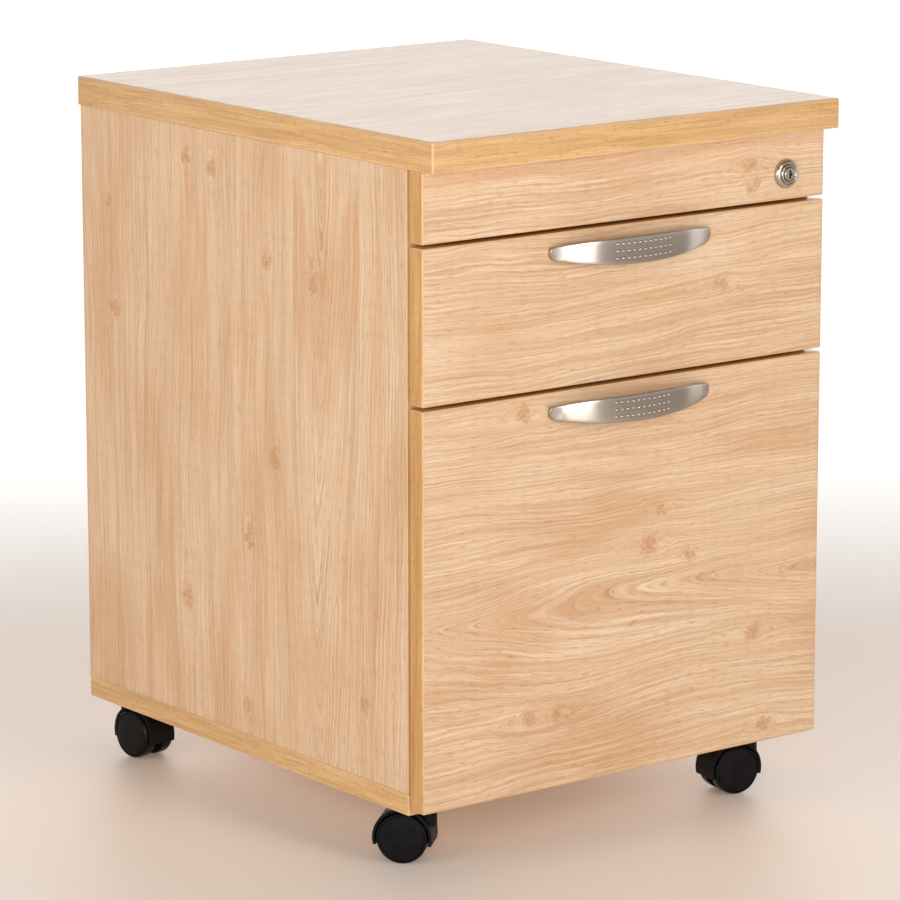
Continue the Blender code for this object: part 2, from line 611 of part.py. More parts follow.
def make_castors():
    places = {
        "front": CARCASS_FRONT_Y + CASTOR_FRONT_INSET,
        "back": CARCASS_BACK_Y - CASTOR_BACK_INSET,
    }
    for end, y in places.items():
        for side, sign in (("left", -1), ("right", 1)):
            make_castor(f"{end}_{side}", sign * CASTOR_X[end], y)


# ---- assembly -----------------------------------------------------------------------------------
make_carcass()
cam_back, cam_pin_place = make_lock()
make_locking_bar(cam_back, cam_pin_place)
upper = make_drawer("upper", (UPPER_FRONT_LOW_Z, UPPER_FRONT_TOP_Z), UPPER_BOX)
lower = make_drawer("lower", (LOWER_FRONT_LOW_Z, LOWER_FRONT_TOP_Z), LOWER_BOX)
make_runners("upper", UPPER_RUNNER_SIZES, (UPPER_BOX[0] + UPPER_BOX[1]) / 2, upper)
make_runners("lower", LOWER_RUNNER_SIZES, (LOWER_BOX[0] + LOWER_BOX[1]) / 2, lower)
make_file_rails(lower)
make_castors()
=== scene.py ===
"""Looks of the rolling pedestal cabinet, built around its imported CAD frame. Metres, +Z up,
the drawers open towards -Y, and the origin is on the floor under the middle of the cabinet."""

import json
from math import asin, atan2, cos, pi, radians, sin, sqrt

import bmesh
import bpy
from mathutils import Matrix, Vector


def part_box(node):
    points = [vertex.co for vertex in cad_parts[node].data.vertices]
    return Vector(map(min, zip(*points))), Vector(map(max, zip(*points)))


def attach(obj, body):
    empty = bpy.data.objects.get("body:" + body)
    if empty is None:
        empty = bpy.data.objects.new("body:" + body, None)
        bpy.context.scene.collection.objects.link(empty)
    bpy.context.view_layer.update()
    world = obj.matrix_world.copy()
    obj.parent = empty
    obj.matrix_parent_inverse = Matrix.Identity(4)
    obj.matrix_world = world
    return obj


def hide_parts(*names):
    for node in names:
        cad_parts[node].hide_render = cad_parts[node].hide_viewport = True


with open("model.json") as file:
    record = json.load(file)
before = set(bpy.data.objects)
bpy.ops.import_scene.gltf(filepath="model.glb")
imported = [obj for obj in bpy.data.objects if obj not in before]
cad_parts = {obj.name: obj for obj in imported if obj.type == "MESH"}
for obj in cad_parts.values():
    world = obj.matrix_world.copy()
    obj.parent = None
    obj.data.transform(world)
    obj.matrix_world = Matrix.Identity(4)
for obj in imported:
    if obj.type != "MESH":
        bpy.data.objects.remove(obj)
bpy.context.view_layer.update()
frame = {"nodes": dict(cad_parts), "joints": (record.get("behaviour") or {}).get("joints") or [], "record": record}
scene = bpy.context.scene
NODES = frame["nodes"]
BODY_OF = {node: body for body, nodes in frame["record"]["behaviour"]["bodies"].items()
           for node in nodes}
JOINTS = {joint["name"]: joint for joint in frame["joints"]}
AXES = {"X": 0, "Y": 1, "Z": 2}
QUARTER = radians(90)
UP, DOWN, FORWARD, BACKWARD = (0, 0, 1), (0, 0, -1), (0, -1, 0), (0, 1, 0)


def added(name, data):
    """A new object in the scene."""
    thing = bpy.data.objects.new(name, data)
    scene.collection.objects.link(thing)
    return thing


# ---- camera ----
SENSOR_MM = 36.0
LENS_MM = 181.494
CAMERA_REACH = 200.0
CAMERA_PLACE = (-2.2945, -2.9919, 1.0968)
CAMERA_YAW, CAMERA_PITCH, CAMERA_ROLL = 0.6535, 0.2122, -0.0004
VIEW_X, VIEW_Y = 0.608, 0.794  # the level direction in which the camera looks


def make_camera():
    """The photo's camera, found from the cabinet's corners. It has no lens shift."""
    data = bpy.data.cameras.new("camera")
    data.sensor_width = SENSOR_MM
    data.lens = LENS_MM
    data.clip_end = CAMERA_REACH
    camera = added("camera", data)
    camera.location = CAMERA_PLACE
    turn = (Matrix.Rotation(-CAMERA_YAW, 3, "Z") @ Matrix.Rotation(QUARTER - CAMERA_PITCH, 3, "X")
            @ Matrix.Rotation(CAMERA_ROLL, 3, "Z"))
    camera.rotation_euler = turn.to_euler()
    scene.camera = camera
    scene.view_settings.view_transform = "Standard"


# ---- material helpers ----
def srgb(red, green, blue):
    """A colour given in 0..255 as seen, as linear values."""
    values = []
    for part in (red, green, blue):
        part = part / 255
        values.append(part / 12.92 if part <= 0.04045 else ((part + 0.055) / 1.055) ** 2.4)
    return (*values, 1.0)


def shifted(base, change):
    """A seen colour, made lighter or darker by a change in 0..255."""
    return srgb(*[part + change for part in base])


class Graph:
    """A material's node tree, with short calls for the nodes used here."""

    def __init__(self, name):
        self.material = bpy.data.materials.new(name)
        self.material.use_nodes = True
        self.tree = self.material.node_tree
        self.shader = self.tree.nodes["Principled BSDF"]

    def link(self, value, socket):
        if isinstance(value, bpy.types.NodeSocket):
            self.tree.links.new(value, socket)
        elif value is not None:
            socket.default_value = value

    def node(self, kind, inputs=(), output=0, **settings):
        made = self.tree.nodes.new(kind)
        for key, value in settings.items():
            setattr(made, key, value)
        for key, value in dict(inputs).items():
            self.link(value, made.inputs[key])
        return made.outputs[output]

    def math(self, operation, first, second=None, third=None):
        inputs = enumerate((first, second, third))
        return self.node("ShaderNodeMath", inputs, operation=operation)

    def times(self, first, second):
        return self.math("MULTIPLY", first, second)

    def pushed(self, value, noise, reach):
        """A value moved to either side by a noise of 0..1, over a reach."""
        return self.math("MULTIPLY_ADD", self.math("SUBTRACT", noise, 0.5), reach, value)

    def scaled(self, vector, factors):
        return self.node("ShaderNodeVectorMath", {0: vector, 1: factors}, operation="MULTIPLY")

    def combined(self, x, y, z):
        return self.node("ShaderNodeCombineXYZ", {0: x, 1: y, 2: z})

    def split(self, vector):
        """A vector's x, y and z."""
        parts = self.tree.nodes.new("ShaderNodeSeparateXYZ")
        self.link(vector, parts.inputs[0])
        return parts.outputs

    def noise(self, vector, scale=1.0, detail=2.0, roughness=0.5):
        return self.node("ShaderNodeTexNoise", {"Vector": vector, "Scale": scale, "Detail": detail,
                                                "Roughness": roughness})

    def grain(self, across, along, layer, seed):
        """Noise drawn out along the grain. A layer is its cycles per metre across and along the
        grain, what it adds to the seed, its detail and its roughness."""
        across_scale, along_scale, offset, detail, roughness = layer
        place = self.combined(self.times(across, across_scale), self.times(along, along_scale),
                              seed + offset)
        return self.noise(place, 1.0, detail, roughness)

    def ramp(self, value, low, high, to_low=0.0, to_high=1.0):
        inputs = {"Value": value, "From Min": low, "From Max": high,
                  "To Min": to_low, "To Max": to_high}
        return self.node("ShaderNodeMapRange", inputs, interpolation_type="SMOOTHSTEP")

    def mix(self, factor, first, second):
        made = self.tree.nodes.new("ShaderNodeMix")
        made.data_type = "RGBA"
        colours = [socket for socket in made.inputs if socket.type == "RGBA"]
        for value, socket in zip((factor, first, second), (made.inputs[0], *colours)):
            self.link(value, socket)
        return next(socket for socket in made.outputs if socket.type == "RGBA")

    def veil(self, colour, tone, amount, strength):
        """A colour with a tone laid over it, as strongly as amount times strength."""
        return self.mix(self.times(amount, strength), colour, tone)

    def place(self):
        """Object coordinates: the row's metres, because every piece's origin is the row's."""
        return self.node("ShaderNodeTexCoord", output="Object")

    def finish(self, colour, roughness, bump=None, **values):
        """Joins the graph to its shader. A bump is (height, distance, strength)."""
        self.link(colour, self.shader.inputs["Base Color"])
        self.link(roughness, self.shader.inputs["Roughness"])
        for key, value in values.items():
            self.shader.inputs[key.replace("_", " ")].default_value = value
        if bump is not None:
            inputs = dict(zip(("Height", "Distance", "Strength"), bump))
            self.link(self.node("ShaderNodeBump", inputs), self.shader.inputs["Normal"])
        return self.material


# ---- wood ----
KNOT_REACH = 3.0       # how far along the grain a knot pushes it, in its own sizes
KNOT_STRETCH = 1.25    # a knot's length over its width
KNOT_SHARPNESS = -2.2
KNOT_INPUTS = ("along", "across", "knot_along", "knot_across", "size", "push")


def knot_group():
    """Pushes the grain round a knot: takes the place along and across the grain and the knot's
    own place and size, and gives the shift across the grain and the knot's mask."""
    tree = bpy.data.node_groups.new("knot", "ShaderNodeTree")
    for name in KNOT_INPUTS:
        tree.interface.new_socket(name, in_out="INPUT", socket_type="NodeSocketFloat")
    for name in ("shift", "mask"):
        tree.interface.new_socket(name, in_out="OUTPUT", socket_type="NodeSocketFloat")
    given = tree.nodes.new("NodeGroupInput").outputs
    end = tree.nodes.new("NodeGroupOutput")

    def math(operation, first, second=None):
        made = tree.nodes.new("ShaderNodeMath")
        made.operation = operation
        for socket, value in zip(made.inputs, (first, second)):
            if isinstance(value, bpy.types.NodeSocket):
                tree.links.new(value, socket)
            elif value is not None:
                socket.default_value = value
        return made.outputs[0]

    def bell(along, across_square, sharpness):
        """1 in the middle, falling off to 0 all round."""
        square = math("ADD", math("MULTIPLY", along, along), across_square)
        return math("EXPONENT", math("MULTIPLY", square, sharpness))

    away = math("SUBTRACT", given["across"], given["knot_across"])
    u = math("SUBTRACT", given["along"], given["knot_along"])
    long_u = math("DIVIDE", u, math("MULTIPLY", given["size"], KNOT_REACH))
    round_u = math("DIVIDE", u, math("MULTIPLY", given["size"], KNOT_STRETCH))
    v = math("DIVIDE", away, given["size"])
    v_square = math("MULTIPLY", v, v)
    fade = bell(long_u, v_square, -1.0)
    core = bell(round_u, v_square, KNOT_SHARPNESS)
    shift = math("MULTIPLY", math("MULTIPLY", away, fade), math("MULTIPLY", given["push"], -1.0))
    tree.links.new(shift, end.inputs["shift"])
    tree.links.new(core, end.inputs["mask"])
    return tree


KNOT = knot_group()

# The oak's layers of noise, as Graph.grain takes them
OAK_NOISE = {
    "wander": (8.0, 2.6, 0, 2.0, 0.45),
    "ripple": (60.0, 22.0, 3, 2.0, 0.5),
    "rough_along": (110.0, 110.0, 31, 3.0, 0.6),
    "rough_across": (110.0, 90.0, 37, 3.0, 0.6),
    "drift": (90.0, 5.0, 1, 2.0, 0.5),
    "presence": (22.0, 5.0, 5, 2.0, 0.5),
    "fine": (1250.0, 14.0, 9, 2.0, 0.6),
    "thread": (620.0, 7.0, 13, 2.0, 0.55),
    "bands": (70.0, 3.0, 7, 2.0, 0.5),
    "patches": (16.0, 5.5, 11, 2.0, 0.5),
    "pale_patches": (26.0, 7.0, 15, 2.0, 0.5),
    "pores": (1500.0, 80.0, 23, 1.0, 0.5),
    "rings": (95.0, 1.3, 17, 1.0, 0.4),
}
# From where to where each layer rises
OAK_LIMITS = {
    "presence": (0.36, 0.62, 0.18, 1.0),
    "fine": (0.38, 0.66),
    "thread": (0.42, 0.66),
    "bands": (0.32, 0.68),
    "patches": (0.42, 0.66),
    "pale_patches": (0.5, 0.72),
    "pores": (0.56, 0.70),
}
# The layers' colours, as seen, and how strongly they are laid on where that is fixed
OAK_TONES = {
    "bands": ((227, 191, 153), (236, 206, 171)),
    "patches": (218, 172, 128),
    "pale_patches": ((240, 214, 184), 0.5),
    "lines": ((201, 158, 114), 0.60),
    "thread": ((243, 216, 186), 0.50),
    "fine": ((200, 156, 114), 0.44),
    "rings": ((204, 155, 108), 0.44),
    "pores": ((172, 128, 90), 0.42),
    "halo": ((209, 158, 112), 0.56),
    "speck": ((182, 126, 82), 0.62),
}
RIPPLE_REACH = 0.0050          # metres
KNOT_ROUGH_ALONG = 0.030
KNOT_ROUGH_ACROSS = 0.024
FLAME_SPREAD = 0.28            # how far a flame's lines lie askew
LINE_DRIFT = 2.5               # in spacings between the lines
LINE_LIMITS = (-0.15, 0.95)
RING_LIMITS = (0.0, 0.045)
FLECK_SCALE = (330.0, 420.0)   # cycles per metre along and across
FLECK_LIMITS = (0.42, 0.64)
HALO_LIMITS = (0.06, 0.75)
SPECK_LIMITS = (0.20, 0.8)
OAK_ROUGHNESS = 0.40
OAK_BUMP = (0.00005, 0.35)     # its distance and strength


def laminate(name, along, across, knots, seed, sweep, pitch, flame=None, warmth=0.85):
    """Light oak laminate. The grain runs along one axis; sweep is how far its lines wander and
    pitch is the distance between them. Each knot is (along, across, size, push). A flame is
    (across, slope, rounding, reach): nested V-shaped lines that point back along the grain.
    warmth is the strength of its deeper patches."""
    g = Graph(name)
    parts = g.split(g.place())
    u, v = parts[AXES[along]], parts[AXES[across]]

    def raw(key, line):
        return g.grain(line, u, OAK_NOISE[key], seed)

    field = g.pushed(v, raw("wander", v), 2 * sweep)
    field = g.pushed(field, raw("ripple", v), RIPPLE_REACH)
    rough_u = g.pushed(u, raw("rough_along", v), KNOT_ROUGH_ALONG)
    rough_v = g.pushed(v, raw("rough_across", v), KNOT_ROUGH_ACROSS)
    mask = None
    for knot in knots:
        made = g.tree.nodes.new("ShaderNodeGroup")
        made.node_tree = KNOT
        for key, value in zip(KNOT_INPUTS, (rough_u, rough_v, *knot)):
            g.link(value, made.inputs[key])
        field = g.math("ADD", field, made.outputs["shift"])
        core = made.outputs["mask"]
        mask = core if mask is None else g.math("MAXIMUM", mask, core)
    if flame is not None:
        middle, slope, rounding, reach = flame
        off = g.math("SUBTRACT", field, middle)
        square = g.times(off, off)
        bent = g.math("SQRT", g.math("ADD", square, rounding ** 2))
        fade = g.math("EXPONENT", g.times(square, -1 / reach ** 2))
        slant = g.times(g.times(u, slope), fade)
        field = g.math("MULTIPLY_ADD", off, FLAME_SPREAD, g.math("SUBTRACT", bent, slant))

    def layer(key):
        return g.ramp(raw(key, field), *OAK_LIMITS[key])

    def laid(colour, key, amount):
        tone, strength = OAK_TONES[key]
        return g.veil(colour, srgb(*tone), amount, strength)

    phase = g.math("MULTIPLY_ADD", raw("drift", field), LINE_DRIFT, g.times(field, 1 / pitch))
    lines = g.ramp(g.math("SINE", g.times(phase, 2 * pi)), *LINE_LIMITS)
    fine, pores = layer("fine"), layer("pores")
    from_ring = g.math("ABSOLUTE", g.math("SUBTRACT", raw("rings", field), 0.5))
    rings = g.ramp(from_ring, *RING_LIMITS, 1.0, 0.0)

    deep, pale = OAK_TONES["bands"]
    colour = g.mix(layer("bands"), srgb(*deep), srgb(*pale))
    colour = g.veil(colour, srgb(*OAK_TONES["patches"]), layer("patches"), warmth)
    colour = laid(colour, "pale_patches", layer("pale_patches"))
    colour = laid(colour, "lines", g.times(lines, layer("presence")))
    colour = laid(colour, "thread", layer("thread"))
    colour = laid(colour, "fine", fine)
    colour = laid(colour, "rings", rings)
    colour = laid(colour, "pores", pores)
    if mask is not None:
        fleck_place = g.combined(g.times(u, FLECK_SCALE[0]), g.times(v, FLECK_SCALE[1]), seed)
        fleck = g.ramp(g.noise(fleck_place, 1.0, 2.0, 0.6), *FLECK_LIMITS)
        halo_tone, halo_strength = OAK_TONES["halo"]
        colour = g.mix(g.ramp(mask, *HALO_LIMITS, 0.0, halo_strength), colour, srgb(*halo_tone))
        colour = laid(colour, "speck", g.times(g.ramp(mask, *SPECK_LIMITS), fleck))
    height = g.math("SUBTRACT", g.times(fine, -0.4), pores)
    rough = g.math("MULTIPLY_ADD", fine, 0.06, OAK_ROUGHNESS)
    return g.finish(colour, rough, (height, *OAK_BUMP), Specular_IOR_Level=0.5)


EDGE_NOISE = {
    "bands": (130.0, 5.0, 5, 2.0, 0.5),
    "lines": (620.0, 14.0, 0, 3.0, 0.6),
    "pores": (1500.0, 110.0, 9, 1.0, 0.5),
}
EDGE_LIMITS = {"bands": (0.3, 0.7), "lines": (0.36, 0.66), "pores": (0.58, 0.7)}
EDGE_DEEP, EDGE_PALE = (216, 170, 114), (232, 190, 134)
EDGE_LINE, EDGE_LINE_STRENGTH = (194, 144, 88), 0.62
EDGE_PORE, EDGE_PORE_STRENGTH = (160, 110, 62), 0.45
# The painted highlight on the rounded arrises, and how strongly it is laid on
EDGE_ARRIS_HIGHLIGHT, EDGE_ARRIS_HIGHLIGHT_STRENGTH = (240, 208, 168), 0.5
EDGE_BEND_SCALE = (7.0, 20.0)  # cycles per metre along and across
EDGE_BEND_REACH = 0.006
EDGE_ROUGHNESS = 0.36
LEVEL_LIMIT = 0.7              # a face whose normal is this upright is a level one


def edging(name, upright, seed, tone=(0, 0, 0)):
    """Golden oak edging strip, with fine grain along it and a painted highlight along its rounded arris. An
    upright strip's grain runs up it, and along it on the level edges of the same board. tone is added
    to its colours."""
    g = Graph(name)

    def toned(values):
        return srgb(*[value + shift for value, shift in zip(values, tone)])

    x, y, z = g.split(g.place())
    level = g.math("ADD", x, y)
    u, v = (z, level) if upright else (level, z)
    if upright:
        normal = g.split(g.node("ShaderNodeNewGeometry", output="Normal"))
        facing_up = g.math("GREATER_THAN", g.math("ABSOLUTE", normal[AXES["Z"]]), LEVEL_LIMIT)
        u = g.math("MULTIPLY_ADD", facing_up, g.math("SUBTRACT", x, z), z)
        v = g.math("SUBTRACT", level, g.times(facing_up, x))
    bend_place = g.combined(g.times(u, EDGE_BEND_SCALE[0]), g.times(v, EDGE_BEND_SCALE[1]), seed)
    field = g.math("MULTIPLY_ADD", g.noise(bend_place), EDGE_BEND_REACH, v)
    bands, lines, pores = [g.ramp(g.grain(field, u, EDGE_NOISE[key], seed), *EDGE_LIMITS[key])
                           for key in ("bands", "lines", "pores")]
    colour = g.mix(bands, toned(EDGE_DEEP), toned(EDGE_PALE))
    colour = g.veil(colour, toned(EDGE_LINE), lines, EDGE_LINE_STRENGTH)
    colour = g.veil(colour, toned(EDGE_PORE), pores, EDGE_PORE_STRENGTH)
    # Painted highlight: the pale tone is laid on as strongly as each vertex's arris share
    arris = g.node("ShaderNodeAttribute", output="Fac", attribute_name="arris")
    colour = g.veil(colour, srgb(*EDGE_ARRIS_HIGHLIGHT), arris, EDGE_ARRIS_HIGHLIGHT_STRENGTH)
    rough = g.math("MULTIPLY_ADD", lines, 0.08, EDGE_ROUGHNESS)
    return g.finish(colour, rough, (g.math("SUBTRACT", 1.0, pores), 0.00005, 0.3))


def foil_board(name, base):
    """Plain foil-wrapped board with a faint linen-like emboss."""
    g = Graph(name)
    place = g.place()
    cloud = g.noise(place, 14.0, 3.0, 0.5)
    weave = g.noise(g.scaled(place, (900.0, 900.0, 900.0)), 1.0, 1.0, 0.5)
    colour = g.mix(g.ramp(cloud, 0.35, 0.65), srgb(*base), shifted(base, -6))
    colour = g.veil(colour, shifted(base, -40), g.ramp(weave, 0.5, 0.7), 0.12)
    return g.finish(colour, g.math("MULTIPLY_ADD", cloud, 0.1, 0.42), (weave, 0.00004, 0.25))


# ---- metal and plastic ----
SCRATCH_ALONG, SCRATCH_ACROSS = 25.0, 3200.0  # cycles per metre


def brushed(name, base, roughness, along, streak=0.10, relief=0.18, **values):
    """Metal brushed along one axis: long fine scratches in tone, roughness and bump."""
    g = Graph(name)
    factors = [SCRATCH_ACROSS] * 3
    factors[AXES[along]] = SCRATCH_ALONG
    scratch = g.noise(g.scaled(g.place(), factors), 1.0, 3.0, 0.6)
    cloud = g.noise(g.place(), 60.0, 2.0, 0.5)
    darker = srgb(*[part * 0.86 for part in base])
    duller = srgb(*[part * 0.9 for part in base])
    colour = g.veil(srgb(*base), darker, g.ramp(scratch, 0.3, 0.7), streak * 4)
    colour = g.veil(colour, duller, cloud, 0.12)
    rough = g.math("MULTIPLY_ADD", scratch, 0.12, roughness - 0.06)
    return g.finish(colour, rough, (scratch, 0.00003, relief), Metallic=1.0, **values)


def zinc(name, base=(188, 192, 198), roughness=0.34):
    """Bright zinc plate with its faint spangle and rolling marks."""
    g = Graph(name)
    place = g.place()
    spangle = g.noise(place, 420.0, 2.0, 0.6)
    roll = g.noise(g.scaled(place, (900.0, 40.0, 900.0)), 1.0, 2.0, 0.5)
    colour = g.mix(g.ramp(spangle, 0.35, 0.65), srgb(*base), shifted(base, -16))
    colour = g.veil(colour, shifted(base, -36), g.ramp(roll, 0.5, 0.75), 0.2)
    rough = g.math("MULTIPLY_ADD", spangle, 0.16, roughness - 0.08)
    return g.finish(colour, rough, (spangle, 0.00002, 0.2), Metallic=1.0)


def moulded(name, base, roughness, grain=2600.0, level=0.4):
    """Moulded black plastic or black steel with a fine satin grain and slight scuffs."""
    g = Graph(name)
    place = g.place()
    fine = g.noise(place, grain, 2.0, 0.5)
    cloud = g.noise(place, 90.0, 3.0, 0.55)
    colour = g.mix(g.ramp(cloud, 0.35, 0.7), srgb(*base), shifted(base, 7))
    rough = g.math("ADD", g.times(cloud, 0.14),
                   g.math("MULTIPLY_ADD", fine, 0.08, roughness - 0.11))
    return g.finish(colour, rough, (fine, 0.00002, 0.35), Specular_IOR_Level=level)


# ---- mesh helpers ----
SOFTENED_ANGLE = radians(40)   # sharper edges than this are bevelled


def block(low, high):
    shape = bmesh.new()
    bmesh.ops.create_cube(shape, size=1.0)
    low, high = Vector(low), Vector(high)
    bmesh.ops.scale(shape, vec=high - low, verts=shape.verts)
    bmesh.ops.translate(shape, vec=(low + high) / 2, verts=shape.verts)
    return shape


def turned(profile, segments, place, axis):
    """Turns a profile of (distance along the axis, radius) about an axis through place."""
    shape = bmesh.new()
    place, axis = Vector(place), Vector(axis).normalized()
    turn = axis.to_track_quat("Z", "Y").to_matrix()
    angles = [2 * pi * k / segments for k in range(segments)]
    rings = []
    for step, radius in profile:
        points = [turn @ Vector((radius * cos(a), radius * sin(a), step)) for a in angles]
        if radius == 0:
            points = [axis * step]
        rings.append([shape.verts.new(place + point) for point in points])
    pairs = list(zip(rings, rings[1:]))
    if profile[0][1] != 0:
        pairs.append((rings[-1], rings[0]))
    for first, second in pairs:
        for k in range(segments):
            corners = [first[k % len(first)], first[(k + 1) % len(first)],
                       second[(k + 1) % len(second)], second[k % len(second)]]
            corners = list(dict.fromkeys(corners))
            if len(corners) > 2:
                shape.faces.new(corners)
    return shape


def banded(shape, rings):
    """Joins each ring of points to the next with a band of faces."""
    count = len(rings[0])
    for first, second in zip(rings, rings[1:]):
        for k in range(count):
            after = (k + 1) % count
            shape.faces.new((first[k], first[after], second[after], second[k]))


def prism(outline, start, end, axis):
    """Extrudes an outline along an axis. The outline is in the other two axes, in their order."""
    t = AXES[axis]
    a, b = [other for other in range(3) if other != t]
    shape = bmesh.new()
    ends = []
    for level in (start, end):
        ring = []
        for first, second in outline:
            point = Vector()
            point[a], point[b], point[t] = first, second, level
            ring.append(shape.verts.new(point))
        ends.append(ring)
    shape.faces.new(ends[0])
    shape.faces.new(ends[1])
    banded(shape, ends)
    return shape


def made_mesh(name, shape):
    mesh = bpy.data.meshes.new(name)
    shape.to_mesh(mesh)
    shape.free()
    return mesh


def merged(shapes):
    """Several closed shapes as one mesh."""
    whole = bmesh.new()
    for shape in shapes:
        part = made_mesh("part", shape)
        whole.from_mesh(part)
        bpy.data.meshes.remove(part)
    return whole


def carved(base, tools):
    """A shape after exact Boolean steps, each (operation, shape)."""
    made = []

    def temporary(shape):
        bmesh.ops.recalc_face_normals(shape, faces=shape.faces)
        made.append(added("temporary", made_mesh("temporary", shape)))
        return made[-1]

    body = temporary(base)
    for operation, shape in tools:
        step = body.modifiers.new("cut", "BOOLEAN")
        step.operation = operation
        step.solver = "EXACT"
        step.object = temporary(shape)
    bpy.context.view_layer.update()
    result = bmesh.new()
    evaluated = body.evaluated_get(bpy.context.evaluated_depsgraph_get())
    result.from_mesh(evaluated.to_mesh())
    evaluated.to_mesh_clear()
    for thing in made:
        mesh = thing.data
        bpy.data.objects.remove(thing)
        bpy.data.meshes.remove(mesh)
    bmesh.ops.remove_doubles(result, verts=result.verts, dist=1e-7)
    return result


def soften(thing, width, segments):
    step = thing.modifiers.new("softened_edges", "BEVEL")
    step.width = width
    step.segments = segments
    step.limit_method = "ANGLE"
    step.angle_limit = SOFTENED_ANGLE
    step.harden_normals = True


def piece(name, shape, material, body, stands_for=(), bevel=0.0, segments=2, angle=35,
          arris=None):
    """Makes a shown piece from a mesh in the row frame, hangs it on the body it rides on and hides the CAD nodes
    it stands for.
    angle is the least angle of a sharp edge, in degrees, and arris is each vertex's share of the painted highlight
    on the edging's arrises."""
    bmesh.ops.recalc_face_normals(shape, faces=shape.faces)
    mesh = made_mesh(name, shape)
    mesh.materials.append(material)
    if arris is not None:
        layer = mesh.attributes.new("arris", "FLOAT", "POINT")
        layer.data.foreach_set("value", arris)
    mesh.shade_smooth()
    mesh.set_sharp_from_angle(angle=radians(angle))
    thing = added(name, mesh)
    if bevel:
        soften(thing, bevel, segments)
    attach(thing, body)
    if stands_for:
        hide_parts(*stands_for)


def dress(node, material, bevel):
    """Gives a CAD node that stays its finish, and softens its edges."""
    thing = NODES[node]
    thing.data.materials.clear()
    thing.data.materials.append(material)
    soften(thing, bevel, 2)


# ---- boards with edging ----
STRIP = 0.002
FRONT_STRIP = 0.0012
ARRIS = 0.0015
BACK_ARRIS = 0.0004
SIDE_FRONT_ARRIS = 0.0003
SIDE_BACK_ARRIS = 0.0008
CORNER = 0.0016
LEAST_CORNER = 0.00004
FRONT_TRIM = 0.0015      # off the back of the fronts, for the dark gap behind them
BOARD_BEVEL = 0.00018
# Shares of the painted arris highlight on a side's upright edging: where the front strip meets the core, and the
# least on its arrises
FRONT_HIGHLIGHT_SHARE, LEAST_HIGHLIGHT_SHARE = 0.85, 0.3  # of arris, on a side's upright edging
ARC_STEPS = 4
ARC = [QUARTER * k / ARC_STEPS for k in range(ARC_STEPS + 1)]
CORNER_SIGNS = ((1, 1), (-1, 1), (-1, -1), (1, -1))  # in order round the board
GROOVE_START = 0.0065
GROOVE_WIDTH = 0.0166
GROOVE_DEPTH = 0.0065


def edging_ring(low, high, thin_axis, strip, arrises):
    """A strip of edging round a board's four edges, with rounded arrises and corners. Gives the
    mesh and each vertex's share of the painted highlight on its arrises."""
    t = AXES[thin_axis]
    a, b = [axis for axis in range(3) if axis != t]
    first, second = arrises
    whole = strip < STRIP  # a front's thin strip turns over into its face
    # The third number of each step is its share of the painted highlight on the arrises
    profile = [(strip, low[t], float(whole))]
    profile += [(first - first * sin(k), low[t] + first - first * cos(k),
                 cos(k) if whole else sin(2 * k)) for k in ARC if not whole or k > 0]
    profile += [(second - second * cos(k), high[t] - second + second * sin(k), sin(2 * k))
                for k in ARC]
    profile += [(strip, high[t], 0.0)]
    shape = bmesh.new()
    arris = []
    rings = []
    for inset, level, share in profile:
        ring = []
        radius = max(CORNER - inset, LEAST_CORNER)
        for quarter, (sign_a, sign_b) in enumerate(CORNER_SIGNS):
            centre_a = (high if sign_a > 0 else low)[a] - sign_a * (inset + radius)
            centre_b = (high if sign_b > 0 else low)[b] - sign_b * (inset + radius)
            for k, lean in enumerate(ARC):
                angle = QUARTER * (quarter + k / ARC_STEPS)
                point = Vector()
                point[a] = centre_a + radius * cos(angle)
                point[b] = centre_b + radius * sin(angle)
                point[t] = level
                ring.append(shape.verts.new(point))
                arris.append(max(share, sin(2 * lean)) if inset < strip else share)
        rings.append(ring)
    banded(shape, rings + rings[:1])
    return shape, arris


def edged_board(node, face, edge, thin_axis, strip=STRIP, arrises=(ARRIS, ARRIS), trim=0.0):
    """A laminated board with edging on all four edges, standing for its CAD node. trim takes a
    little off its high side."""
    low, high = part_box(node)
    high[AXES[thin_axis]] -= trim
    body = BODY_OF[node]
    inset = Vector([strip] * 3)
    inset[AXES[thin_axis]] = 0.0
    piece(f"{node}_board", block(low + inset, high - inset), face, body, (node,),
          bevel=BOARD_BEVEL)
    ring, arris = edging_ring(low, high, thin_axis, strip, arrises)
    piece(f"{node}_edging", ring, edge, body, arris=arris)


def edge_strip(side, front, material):
    """The edging on one upright edge of a side panel, with two rounded arrises."""
    node = f"{side}_side_panel"
    low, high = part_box(node)
    outer, inward = (low.y, 1) if front else (high.y, -1)
    arris = SIDE_FRONT_ARRIS if front else SIDE_BACK_ARRIS
    inner = outer + inward * STRIP
    outline = [(low.x, inner)]
    outline += [(low.x + arris * (1 - cos(k)), outer + inward * arris * (1 - sin(k))) for k in ARC]
    outline += [(high.x - arris * (1 - cos(k)), outer + inward * arris * (1 - sin(k)))
                for k in reversed(ARC)]
    outline += [(high.x, inner)]
    # Each vertex's share of the painted highlight on the strip's arrises
    shares = [FRONT_HIGHLIGHT_SHARE if front else 0.0] + [max(LEAST_HIGHLIGHT_SHARE, cos(k)) for k in ARC]
    shares = shares + shares[::-1]
    piece(f"{side}_side_{'front' if front else 'back'}_edging", prism(outline, low.z, high.z, "Z"),
          material, BODY_OF[node], arris=shares * 2)


